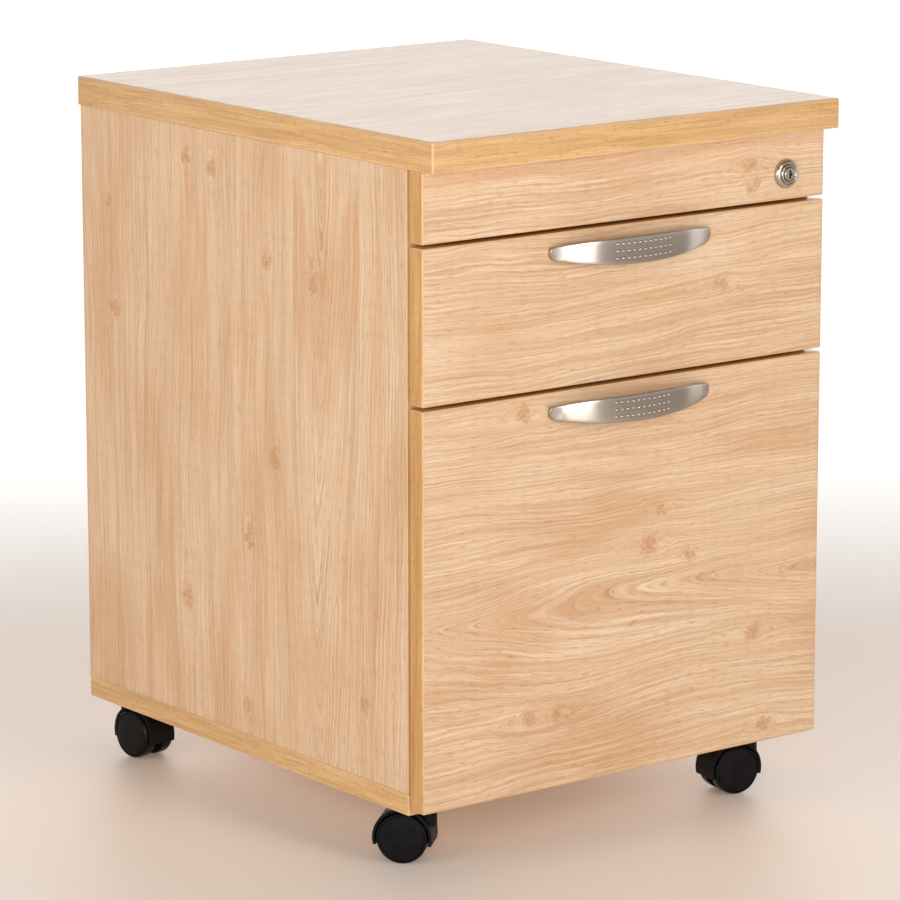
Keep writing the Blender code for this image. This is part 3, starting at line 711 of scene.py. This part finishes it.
def side_core(side, material, groove=False):
    """A side panel's core between its two edging strips, with the locking bar's groove."""
    node = f"{side}_side_panel"
    low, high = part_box(node)
    front, back = low.y + STRIP, high.y - STRIP
    outline = [(high.x, front), (high.x, back), (low.x, back)]
    if groove:
        floor = low.x + GROOVE_DEPTH
        start = low.y + GROOVE_START
        end = start + GROOVE_WIDTH
        outline += [(low.x, end), (floor, end), (floor, start), (low.x, start)]
    outline += [(low.x, front)]
    piece(f"{node}_board", prism(outline, low.z, high.z, "Z"), material, BODY_OF[node],
          (node,), bevel=BOARD_BEVEL)


def pan_head(place, axis, radius, height):
    """A pan head with a cross recess. place is on the seat and axis points out of the head."""
    rim, crown = 0.35, 0.45  # shares of its height and of its radius
    profile = [(0, 0), (0, radius), (height * rim, radius)]
    profile += [(height * (rim + (1 - rim) * sin(k)), radius * (1 - crown + crown * cos(k)))
                for k in (radians(25), radians(50), radians(75), QUARTER)]
    profile += [(height, 0)]
    turn = Vector(axis).normalized().to_track_quat("Z", "Y").to_matrix().to_4x4()
    slots = []
    for across, along in ((0.16, 0.55), (0.55, 0.16)):
        slot = block((-radius * across, -radius * along, height * rim),
                     (radius * across, radius * along, height * 2))
        bmesh.ops.transform(slot, matrix=Matrix.Translation(place) @ turn, verts=slot.verts)
        slots.append(("DIFFERENCE", slot))
    return carved(turned(profile, 24, place, axis), slots)


# ---- handles ----
HANDLE_HALF = 0.083      # half its length
END_HEIGHT = 0.010
TOP_SWELL, LOW_SWELL = 0.0048, 0.0075  # how much higher and lower the middle reaches
BOW = 0.0175             # how much further the middle stands off
END_GAP = 0.0003         # between the ends and the front
STRAP = 0.003
STRAP_STEPS = 96
STRAP_EDGE = 0.0007
STRAP_CROWN, CROWN_STEPS = 0.00012, 8
BACK_CORNER = ((0.0, 0.6), (0.3, 0.15), (1.0, 0.0))  # in from both faces, in STRAP_EDGE
FACE_CORNER = ((1.0, 0.0), (0.5, 0.13), (0.13, 0.5), (0.0, 1.0))
END_TOP_R, END_LOW_R = 0.0030, 0.0052
END_SHARES = (0.02, 0.07, 0.15, 0.26, 0.4, 0.58, 0.8, 1.0)  # closer steps in the rounded ends
CAP_OVERLAP = 0.0001
CAP_STEPS = 8
CAP_FRONT, CAP_BACK = 0.0028, 0.0002
PIP_PITCH_X, PIP_PITCH_Z = 0.00545, 0.0059
PIP_R, PIP_HEIGHT, PIP_SINK, PIP_CROWN = 0.00155, 0.0008, 0.0004, 0.00010
PIP_STEPS = 5
POST_X, POST_DROP, POST_R = 0.064, 0.006, 0.0045
POST_FOOT = ((0.0001, 0), (0.0001, 0.0056), (0.0012, 0.0056), (0.0016, POST_R))
HANDLE_SCREW = (0.0042, 0.0026)  # the radius and height of its head
FRONT_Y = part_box("upper_drawer_front")[0].y


def corner_cut(radius, from_end):
    """How far a rounded corner draws an edge in, at a distance from the end."""
    if from_end >= radius:
        return 0.0
    return radius - sqrt(radius ** 2 - (radius - from_end) ** 2)


def bow_section(x):
    """Top and bottom heights (from the top of the ends) and how far the strap's back stands off."""
    swell = max(0.0, 1 - (x / HANDLE_HALF) ** 2)
    top = TOP_SWELL * swell ** 0.75
    low = -END_HEIGHT - LOW_SWELL * swell ** 0.9
    from_end = HANDLE_HALF - abs(x)
    return (top - corner_cut(END_TOP_R, from_end), low + corner_cut(END_LOW_R, from_end),
            END_GAP + BOW * swell)


def handle_strap(base_z):
    steps = [-1 + 2 * k / STRAP_STEPS for k in range(STRAP_STEPS + 1)]
    ends = [1 - END_LOW_R * share / HANDLE_HALF for share in END_SHARES]
    edge = STRAP_EDGE
    shape = bmesh.new()
    loops = []
    for s in sorted(steps + ends + [-s for s in ends]):
        x = HANDLE_HALF * s
        top, low, back = bow_section(x)
        inner, outer = -back, -back - STRAP
        section = [(inner, top - edge * BACK_CORNER[0][1])]
        section += [(inner - edge * a, low + edge * b) for a, b in BACK_CORNER]
        section += [(outer + edge * a, low + edge * b) for a, b in FACE_CORNER]
        section += [(outer - STRAP_CROWN * (1 - (2 * k / CROWN_STEPS - 1) ** 2),
                     low + edge + (top - low - 2 * edge) * k / CROWN_STEPS)
                    for k in range(1, CROWN_STEPS)]
        section += [(outer + edge * a, top - edge * b) for a, b in reversed(FACE_CORNER)]
        section += [(inner - edge * a, top - edge * b) for a, b in reversed(BACK_CORNER[1:])]
        loops.append([shape.verts.new((x, FRONT_Y + y, base_z + z)) for y, z in section])
    banded(shape, loops)
    shape.faces.new(loops[0])
    shape.faces.new(list(reversed(loops[-1])))
    return shape


def cap_outline(sign, base_z):
    """A foot cap's outline from the front, rounded like the end of the strap."""
    far = HANDLE_HALF + CAP_OVERLAP
    near = far - END_LOW_R
    low_z = base_z - (END_HEIGHT + CAP_OVERLAP)
    outline = [(sign * near, low_z)]
    for radius, centre, start in ((END_LOW_R, low_z + END_LOW_R, -90),
                                  (END_TOP_R, base_z - END_TOP_R, 0)):
        for k in range(CAP_STEPS + 1):
            angle = radians(start + 90 * k / CAP_STEPS)
            outline.append((sign * (far - radius + radius * cos(angle)),
                            centre + radius * sin(angle)))
    outline.append((sign * near, base_z))
    return list(dict.fromkeys(outline))


def handle_pips(base_z):
    """Eleven columns of three small raised pips on the middle of the strap."""
    sphere = (PIP_R ** 2 + PIP_HEIGHT ** 2) / (2 * PIP_HEIGHT)  # its radius
    profile = [(-PIP_SINK, 0), (-PIP_SINK, PIP_R)]
    for k in range(PIP_STEPS):
        share = PIP_R * (1 - k / PIP_STEPS)
        profile.append((sqrt(sphere ** 2 - share ** 2) - (sphere - PIP_HEIGHT), share))
    profile.append((PIP_HEIGHT, 0))
    pips = []
    for column in range(-5, 6):
        x = PIP_PITCH_X * column
        top, low, back = bow_section(x)
        slope = 2 * BOW * x / HANDLE_HALF ** 2
        outward = Vector((slope, -1, 0)).normalized()
        for row in (-1, 0, 1):
            z = base_z + (top + low) / 2 + row * PIP_PITCH_Z
            crown = PIP_CROWN * (1 - (row * PIP_PITCH_Z / ((top - low) / 2)) ** 2)
            place = Vector((x, FRONT_Y - back - STRAP, z)) + outward * crown
            pips.append(turned(profile, 14, place, outward))
    return merged(pips)


def make_handle(level, steel, plated):
    """A bow handle with its pips, foot caps, posts and the screws inside the drawer front."""
    node = f"{level}_drawer_handle"
    body = f"{level}_drawer"
    base_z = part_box(node)[1].z - TOP_SWELL
    piece(f"{level}_handle_strap", handle_strap(base_z), steel, body, (node,),
          angle=50)
    piece(f"{level}_handle_pips", handle_pips(base_z), steel, body, angle=60)
    back_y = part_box(f"{level}_drawer_front")[1].y - FRONT_TRIM
    post_z = base_z - POST_DROP
    reach = bow_section(POST_X)[2] + STRAP / 2
    profile = [*POST_FOOT, (reach, POST_R), (reach, 0)]
    caps, posts, screws = [], [], []
    for sign in (-1, 1):
        x = sign * POST_X
        caps.append(prism(cap_outline(sign, base_z), FRONT_Y - CAP_FRONT, FRONT_Y - CAP_BACK, "Y"))
        posts.append(turned(profile, 28, (x, FRONT_Y, post_z), FORWARD))
        screws.append(pan_head((x, back_y, post_z), BACKWARD, *HANDLE_SCREW))
    piece(f"{level}_handle_caps", merged(caps), steel, body, bevel=0.0003)
    piece(f"{level}_handle_posts", merged(posts), steel, body)
    piece(f"{level}_handle_screws", merged(screws), plated, body,
          bevel=0.0001, segments=1)


# ---- lock ----
# Profiles of (distance out of the panel's face, radius)
BARREL = ((-0.0223, 0.0058), (-0.0223, 0.0095), (0.0, 0.0095), (0.0, 0.0121), (0.0006, 0.0122),
          (0.0011, 0.0122))
DOME_START, DOME_HEIGHT, DOME_INNER_R, DOME_WIDTH, DOME_STEPS = 0.0011, 0.0034, 0.0090, 0.0032, 8
COLLAR_STEPS = ((0.0043, 0.0087), (0.0036, 0.0085), (0.0036, 0.0081), (0.0044, 0.0079),
                (0.0052, 0.0077), (0.0055, 0.0073), (0.0055, 0.0066), (0.0051, 0.0062),
                (0.0046, 0.0060), (0.0046, 0.0058))
PLUG = ((-0.0230, 0), (-0.0230, 0.0055), (0.0058, 0.0055), (0.0063, 0.0052), (0.0065, 0.0047),
        (0.0064, 0.0025), (0.0063, 0))
KEYWAY_HALF_X, KEYWAY_HALF_Z, KEYWAY_REACH = 0.0011, 0.0036, 0.0070
NOTCH_X, NOTCH_HALF_Z = (-0.0001, 0.0024), 0.0012
WAFER_HALF_X, WAFER_Z, WAFER_THICK = 0.0008, (0.0014, 0.0030), 0.0005
WAFER_START, WAFER_PITCH = -0.0042, 0.0011
CAM_SEAT = 0.0025              # how deep the cam's screw sits in it
CAM_SCREW = (0.0030, 0.0014)


def make_lock(nickel, dark, plated):
    """The collar with its barrel, the plug with its keyway and wafers, the nut, cam and screw."""
    x, y, z = place = tuple(JOINTS["lock_turn"]["pos_m"])
    profile = list(BARREL)
    for k in range(1, DOME_STEPS + 1):
        lean = QUARTER * k / DOME_STEPS
        profile.append((DOME_START + DOME_HEIGHT * sin(lean),
                        DOME_INNER_R + DOME_WIDTH * cos(lean)))
    profile += COLLAR_STEPS
    piece("lock_collar", turned(profile, 72, place, FORWARD), nickel, "cabinet",
          ("lock_housing",), angle=40)
    keyway = block((x - KEYWAY_HALF_X, y - KEYWAY_REACH, z - KEYWAY_HALF_Z),
                   (x + KEYWAY_HALF_X, y + 0.001, z + KEYWAY_HALF_Z))
    notch = block((x + NOTCH_X[0], y - KEYWAY_REACH, z - NOTCH_HALF_Z),
                  (x + NOTCH_X[1], y, z + NOTCH_HALF_Z))
    plug = carved(turned(PLUG, 56, place, FORWARD), [("DIFFERENCE", keyway), ("DIFFERENCE", notch)])
    piece("lock_plug_turned", plug, nickel, "lock_cylinder", ("lock_plug",),
          bevel=0.00015)
    wafers = []
    for k, side in enumerate((1, -1, 1, -1)):
        front = y + WAFER_START + WAFER_PITCH * k
        wafers.append(block((x - WAFER_HALF_X, front, z + side * WAFER_Z[0]),
                            (x + WAFER_HALF_X, front + WAFER_THICK, z + side * WAFER_Z[1])))
    piece("lock_wafers", merged(wafers), dark, "lock_cylinder", bevel=0.0001,
          segments=1)
    dress("lock_nut", plated, 0.0004)
    dress("lock_cam", plated, 0.0003)
    screw = pan_head((x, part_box("lock_cam")[0].y + CAM_SEAT, z), BACKWARD, *CAM_SCREW)
    piece("lock_cam_screw", screw, plated, "lock_cylinder", bevel=0.0001,
          segments=1)


# ---- castors ----
WHEEL_R = 0.021
TRAIL = 0.018
HOOD_R, HOOD_HALF, HOOD_DROP, HOOD_STEPS = 0.0245, 0.0135, 0.006, 64
CAVITY_R, CAVITY_X = 0.0222, (0.004, 0.016)     # the hollow for a wheel, on either side
NECK_R, NECK_TOP_R, NECK_START, NECK_GAP = 0.0085, 0.0075, 0.030, 0.0006
BORE_R, BORE_START, BORE_END = 0.0033, 0.0370, 0.06  # for the kingpin
PIN_R, PIN_TIP_R, PIN_START = 0.0030, 0.0024, 0.0375
PLATE, PLATE_CORNER, SCREW_SPACING = 0.002, 0.004, 0.014
PLATE_SCREW = (0.0034, 0.0020)
# A wheel's profile of (distance out from the castor's middle, radius)
WHEEL = ((0.0159, 0), (0.01588, 0.004), (0.0158, 0.009), (0.0157, 0.0135), (0.0155, 0.0168),
         (0.0153, 0.0182), (0.0148, 0.0186), (0.0148, 0.0189), (0.0154, 0.0192), (0.0156, 0.0195),
         (0.0155, 0.0199), (0.0151, 0.0203), (0.0146, 0.0206), (0.0139, 0.0209), (0.0130, WHEEL_R),
         (0.0118, WHEEL_R), (0.0116, 0.0206), (0.0112, 0.0206), (0.0110, WHEEL_R),
         (0.0060, WHEEL_R), (0.0052, 0.0207), (0.0047, 0.0200), (0.0046, 0.0188),
         (0.0062, 0.0180), (0.0064, 0.0070), (0.0048, 0.0062), (0.0046, 0.0050),
         (0.0046, 0.0024), (0.0134, 0.0024), (0.0134, 0))


def wheel_shape(sign, place):
    """One wheel of the pair: a domed disc with a raised rim line, a shoulder, a grooved tread and
    a hollow inner side."""
    return turned([(sign * step, radius) for step, radius in WHEEL], 72, place, (1, 0, 0))


def hood_shape(hub, plate_low):
    """The hood's arc over both wheels, with its neck, the wheels' hollows and the pin's bore."""
    gap = asin(HOOD_DROP / HOOD_R)
    sweep = pi + 2 * gap
    arc = []
    for k in range(HOOD_STEPS + 1):
        angle = -gap + sweep * k / HOOD_STEPS
        arc.append((HOOD_R * cos(angle) + hub.y, HOOD_R * sin(angle) + hub.z))
    neck_top = plate_low - NECK_GAP
    neck = [(NECK_START, 0), (NECK_START, NECK_R), (neck_top - NECK_R + NECK_TOP_R, NECK_R),
            (neck_top, NECK_TOP_R), (neck_top, 0)]
    bore = [(BORE_START, 0), (BORE_START, BORE_R), (BORE_END, BORE_R), (BORE_END, 0)]
    inner, outer = CAVITY_X
    tools = [("UNION", turned(neck, 48, (0, 0, 0), UP))]
    for sign in (1, -1):
        cavity = [(inner * sign, 0), (inner * sign, CAVITY_R), (outer * sign, CAVITY_R),
                  (outer * sign, 0)]
        tools.append(("DIFFERENCE", turned(cavity, 72, hub, (1, 0, 0))))
    tools.append(("DIFFERENCE", turned(bore, 24, (0, 0, 0), UP)))
    return carved(prism(arc, -HOOD_HALF, HOOD_HALF, "X"), tools)


def make_castor(corner, nylon, hood_nylon, steel, plated):
    """One twin-wheel castor. Its hood and wheels are built about its own swivel axis and then
    put in place."""
    name = f"castor_{corner}"
    swivel_x, swivel_y, _ = JOINTS[f"{corner}_swivel"]["pos_m"]
    axis = JOINTS[f"{corner}_wheel_a_spin"]["axis"]
    placed = (Matrix.Translation((swivel_x, swivel_y, 0))
              @ Matrix.Rotation(atan2(axis[1], axis[0]), 4, "Z"))
    hub = Vector((0, -TRAIL, WHEEL_R))
    low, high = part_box(f"{name}_plate")
    plate_low = high.z - PLATE

    def put(shape):
        bmesh.ops.transform(shape, matrix=placed, verts=shape.verts)
        return shape

    piece(f"{name}_hood_moulded", put(hood_shape(hub, plate_low)), hood_nylon,
          f"{corner}_castor", (f"{name}_hood",), bevel=0.0006, segments=3)
    for side, sign in (("a", 1), ("b", -1)):
        piece(f"{name}_wheel_{side}_moulded", put(wheel_shape(sign, hub)), nylon,
              f"{corner}_wheel_{side}", (f"{name}_wheel_{side}",), angle=30)
    dress(f"{name}_axle", plated, 0.0002)

    plate = block((low.x, low.y, plate_low), high)
    corners = [edge for edge in plate.edges
               if abs(edge.verts[0].co.z - edge.verts[1].co.z) > PLATE / 2]
    bmesh.ops.bevel(plate, geom=corners, offset=PLATE_CORNER, segments=6, profile=0.5,
                    affect="EDGES")
    pin_top = high.z - PLATE / 2
    pin = [(PIN_START, 0), (PIN_START, PIN_TIP_R), (PIN_START + PIN_R - PIN_TIP_R, PIN_R),
           (pin_top, PIN_R), (pin_top, 0)]
    pressed = carved(plate, [("UNION", turned(pin, 24, (swivel_x, swivel_y, 0), UP))])
    piece(f"{name}_plate_pressed", pressed, steel, "cabinet", (f"{name}_plate",),
          bevel=0.0003)
    screws = [pan_head((swivel_x + dx, swivel_y + dy, plate_low), DOWN, *PLATE_SCREW)
              for dx in (-SCREW_SPACING, SCREW_SPACING) for dy in (-SCREW_SPACING, SCREW_SPACING)]
    piece(f"{name}_plate_screws", merged(screws), plated, "cabinet",
          bevel=0.0001, segments=1)


# ---- stage ----
FLOOR_REACH = 60.0
FLOOR_NEAR, FLOOR_FAR = (0.86, 0.78, 0.705, 1.0), (0.93, 0.92, 0.91, 1.0)
# The floor's glow, painted light: faint and warm near the cabinet, white where it becomes the backdrop
FLOOR_GLOW_NEAR, FLOOR_GLOW_FAR = (0.190, 0.135, 0.094, 1.0), (1.0, 1.0, 1.0, 1.0)
WHITE_BEHIND = (0.35, 1.5)     # metres behind the cabinet over which the floor turns white
WHITE_BESIDE = (1.1, 1.9)      # metres beside that line over which it stops doing so
WHITE_AROUND = (2.8, 5.5)      # metres from the cabinet over which it turns white all round
GLOW_COLOUR = (1.0, 0.985, 0.98, 1.0)
GLOW_BEHIND = (0.6, 0.93, 0.0, 3.12)
GLOW_LOW = (0.3, 0.62, 1.0, 0.0)
GLOW_STEPS = ((0.1, 0.7, 0.34, 0.25), (0.0, 0.12, 0.45, 0.0))  # by height, all round


def make_floor():
    """A pale floor that turns white behind the cabinet. It glows: faint warm painted light near the cabinet, and a
    white glow where it turns into the backdrop.
    """
    mesh = bpy.data.meshes.new("floor")
    signs = ((-1, -1), (1, -1), (1, 1), (-1, 1))
    corners = [(FLOOR_REACH * x, FLOOR_REACH * y, 0) for x, y in signs]
    mesh.from_pydata(corners, [], [(0, 1, 2, 3)])
    floor = added("floor", mesh)
    g = Graph("floor")
    x, y, _ = g.split(g.place())
    away = g.math("ADD", g.times(x, VIEW_X), g.times(y, VIEW_Y))
    aside = g.math("ABSOLUTE", g.math("SUBTRACT", g.times(y, VIEW_X), g.times(x, VIEW_Y)))
    far = g.times(g.ramp(away, *WHITE_BEHIND), g.ramp(aside, *WHITE_BESIDE, 1.0, 0.0))
    distance = g.node("ShaderNodeVectorMath", {0: g.place()}, "Value", operation="LENGTH")
    far = g.math("MAXIMUM", far, g.ramp(distance, *WHITE_AROUND))
    g.finish(g.mix(far, FLOOR_NEAR, FLOOR_FAR), 0.55, Emission_Strength=0.5)
    g.link(g.mix(far, FLOOR_GLOW_NEAR, FLOOR_GLOW_FAR), g.shader.inputs["Emission Color"])
    mesh.materials.append(g.material)


def softbox(name, place, target, size, power):
    data = bpy.data.lights.new(name, "AREA")
    data.shape = "RECTANGLE"
    data.size, data.size_y = size
    data.energy = power
    light = added(name, data)
    light.location = place
    light.rotation_euler = (Vector(target) - Vector(place)).to_track_quat("-Z", "Y").to_euler()
    light.visible_camera = False


def make_world():
    """Soft surrounding light, brightest low behind the cabinet as seen by the camera."""
    world = bpy.data.worlds.new("studio")
    scene.world = world
    world.use_nodes = True
    tree = world.node_tree

    def node(kind, first, second=None, **settings):
        made = tree.nodes.new(kind)
        for key, value in settings.items():
            setattr(made, key, value)
        tree.links.new(first, made.inputs[0])
        if second is not None:
            tree.links.new(second, made.inputs[1])
        return made

    def spread(value, *limits):
        made = node("ShaderNodeMapRange", value, interpolation_type="SMOOTHSTEP")
        for key, number in zip(("From Min", "From Max", "To Min", "To Max"), limits):
            made.inputs[key].default_value = number
        return made.outputs[0]

    direction = tree.nodes.new("ShaderNodeTexCoord").outputs["Generated"]
    behind = node("ShaderNodeVectorMath", direction, operation="DOT_PRODUCT")
    behind.inputs[1].default_value = (VIEW_X, VIEW_Y, 0.0)
    height = node("ShaderNodeSeparateXYZ", direction).outputs["Z"]
    total = node("ShaderNodeMath", spread(behind.outputs["Value"], *GLOW_BEHIND),
                 spread(height, *GLOW_LOW), operation="MULTIPLY").outputs[0]
    for limits in GLOW_STEPS:
        total = node("ShaderNodeMath", total, spread(height, *limits), operation="ADD").outputs[0]
    background = tree.nodes["Background"]
    tree.links.new(total, background.inputs["Strength"])
    background.inputs["Color"].default_value = GLOW_COLOUR


# ---- assembly ----
make_camera()
make_floor()
make_world()
softbox("front_softbox", (0.075, -1.85, 0.80), (0.075, 0.0, 0.55), (0.42, 1.5), 10.5)
softbox("left_softbox", (-2.3, -0.2, 0.72), (-0.2, 0.0, 0.40), (1.6, 1.35), 16.2)
softbox("camera_softbox", (-2.0, -2.3, 0.9), (0.0, -0.1, 0.35), (0.9, 1.2), 26.2)
softbox("right_reflector", (1.43, -0.59, 0.65), (0.07, -0.25, 0.55), (0.30, 1.2), 0.95)

# Knots: place along the grain, place across it, size and push, in the row's metres
SIDE_KNOTS = [(0.538, 0.055, 0.009, 0.8), (0.544, 0.092, 0.008, 0.7), (0.494, 0.209, 0.006, 0.6),
              (0.473, -0.024, 0.009, 0.8), (0.463, -0.087, 0.010, 0.8), (0.402, 0.203, 0.010, 0.8),
              (0.310, -0.032, 0.010, 0.8), (0.237, 0.005, 0.010, 0.85), (0.170, 0.096, 0.013, 0.9),
              (0.129, -0.154, 0.008, 0.8), (0.091, 0.008, 0.009, 0.8)]
LOWER_KNOTS = [(0.023, 0.242, 0.013, 0.85), (0.066, 0.228, 0.010, 0.8), (0.035, 0.271, 0.008, 0.8),
               (0.138, 0.151, 0.011, 0.85), (0.149, 0.070, 0.009, 0.8),
               (-0.100, 0.116, 0.010, 0.85), (-0.072, 0.113, 0.010, 0.85),
               (-0.108, 0.367, 0.010, 0.7)]
UPPER_KNOTS = [(0.096, 0.449, 0.010, 0.85)]
LOCK_KNOTS = [(0.126, 0.544, 0.010, 0.9), (0.132, 0.528, 0.009, 0.8)]
LEFT_FLAME = (-0.095, 0.08, 0.006, 0.05)
RIGHT_FLAME = (0.06, 0.08, 0.006, 0.05)
LOWER_FLAME = (0.204, 0.09, 0.006, 0.05)

oak_left = laminate("oak_left_side", "Z", "Y", SIDE_KNOTS, 1.0, 0.016, 0.0034, LEFT_FLAME)
oak_right = laminate("oak_right_side", "Z", "Y", SIDE_KNOTS[3:7], 12.0, 0.016, 0.0034, RIGHT_FLAME)
oak_lower = laminate("oak_lower_front", "X", "Z", LOWER_KNOTS, 5.0, 0.030, 0.0045, LOWER_FLAME)
oak_upper = laminate("oak_upper_front", "X", "Z", UPPER_KNOTS, 23.0, 0.022, 0.0040, warmth=0.6)
oak_lock = laminate("oak_lock_panel", "X", "Z", LOCK_KNOTS, 31.0, 0.022, 0.0040, warmth=0.2)
oak_flat = laminate("oak_flat", "X", "Y", (), 44.0, 0.03, 0.0045)
oak_back = laminate("oak_back", "Z", "X", (), 52.0, 0.02, 0.0034)
edge_flat = edging("edging_flat", False, 1.0)
edge_upright = edging("edging_upright", True, 4.0)
edge_front = edging("edging_front", True, 9.0, tone=(-7, -14, -20))
foil = foil_board("drawer_foil", (222, 220, 214))
steel = brushed("handle_steel", (186, 176, 166), 0.20, "X", Anisotropic=0.6,
                Anisotropic_Rotation=0.25)
nickel = brushed("lock_nickel", (196, 186, 174), 0.20, "Y", streak=0.05, relief=0.04)
dark_metal = zinc("lock_dark", (120, 116, 110), 0.45)
zinc_plate = zinc("zinc_plate")
nylon = moulded("castor_nylon", (9, 9, 11), 0.27, level=0.17)
hood_nylon = moulded("castor_hood_nylon", (10, 10, 12), 0.46, level=0.14)
black_steel = moulded("castor_steel", (20, 20, 22), 0.42, grain=1800.0)

edged_board("top_panel", oak_flat, edge_flat, "Z")
edged_board("base_panel", oak_flat, edge_flat, "Z")
for front, oak in (("lock_panel", oak_lock), ("upper_drawer_front", oak_upper),
                   ("lower_drawer_front", oak_lower)):
    edged_board(front, oak, edge_front, "Y", FRONT_STRIP, (FRONT_STRIP, BACK_ARRIS), FRONT_TRIM)
side_core("left", oak_left)
side_core("right", oak_right, groove=True)
for side in ("left", "right"):
    edge_strip(side, True, edge_upright)
    edge_strip(side, False, edge_upright)
dress("back_panel", oak_back, 0.0004)

for level in ("upper", "lower"):
    make_handle(level, steel, zinc_plate)
    for part in ("left_side", "right_side", "back", "bottom"):
        dress(f"{level}_drawer_{part}", foil, 0.0008)
    dress(f"{level}_drawer_catch", zinc_plate, 0.0002)
    dress(f"lock_bar_clip_{level}", nylon, 0.0005)
for member in ("upper_cabinet", "upper_drawer", "lower_cabinet", "lower_middle", "lower_drawer"):
    for side in ("left", "right"):
        dress(f"{member}_runner_{side}", zinc_plate, 0.0003)
for rail in ("front", "rear"):
    dress(f"{rail}_file_rail", zinc_plate, 0.0006)
dress("locking_bar", zinc_plate, 0.0004)

make_lock(nickel, dark_metal, zinc_plate)
for corner in ("front_left", "front_right", "back_left", "back_right"):
    make_castor(corner, nylon, hood_nylon, black_steel, zinc_plate)
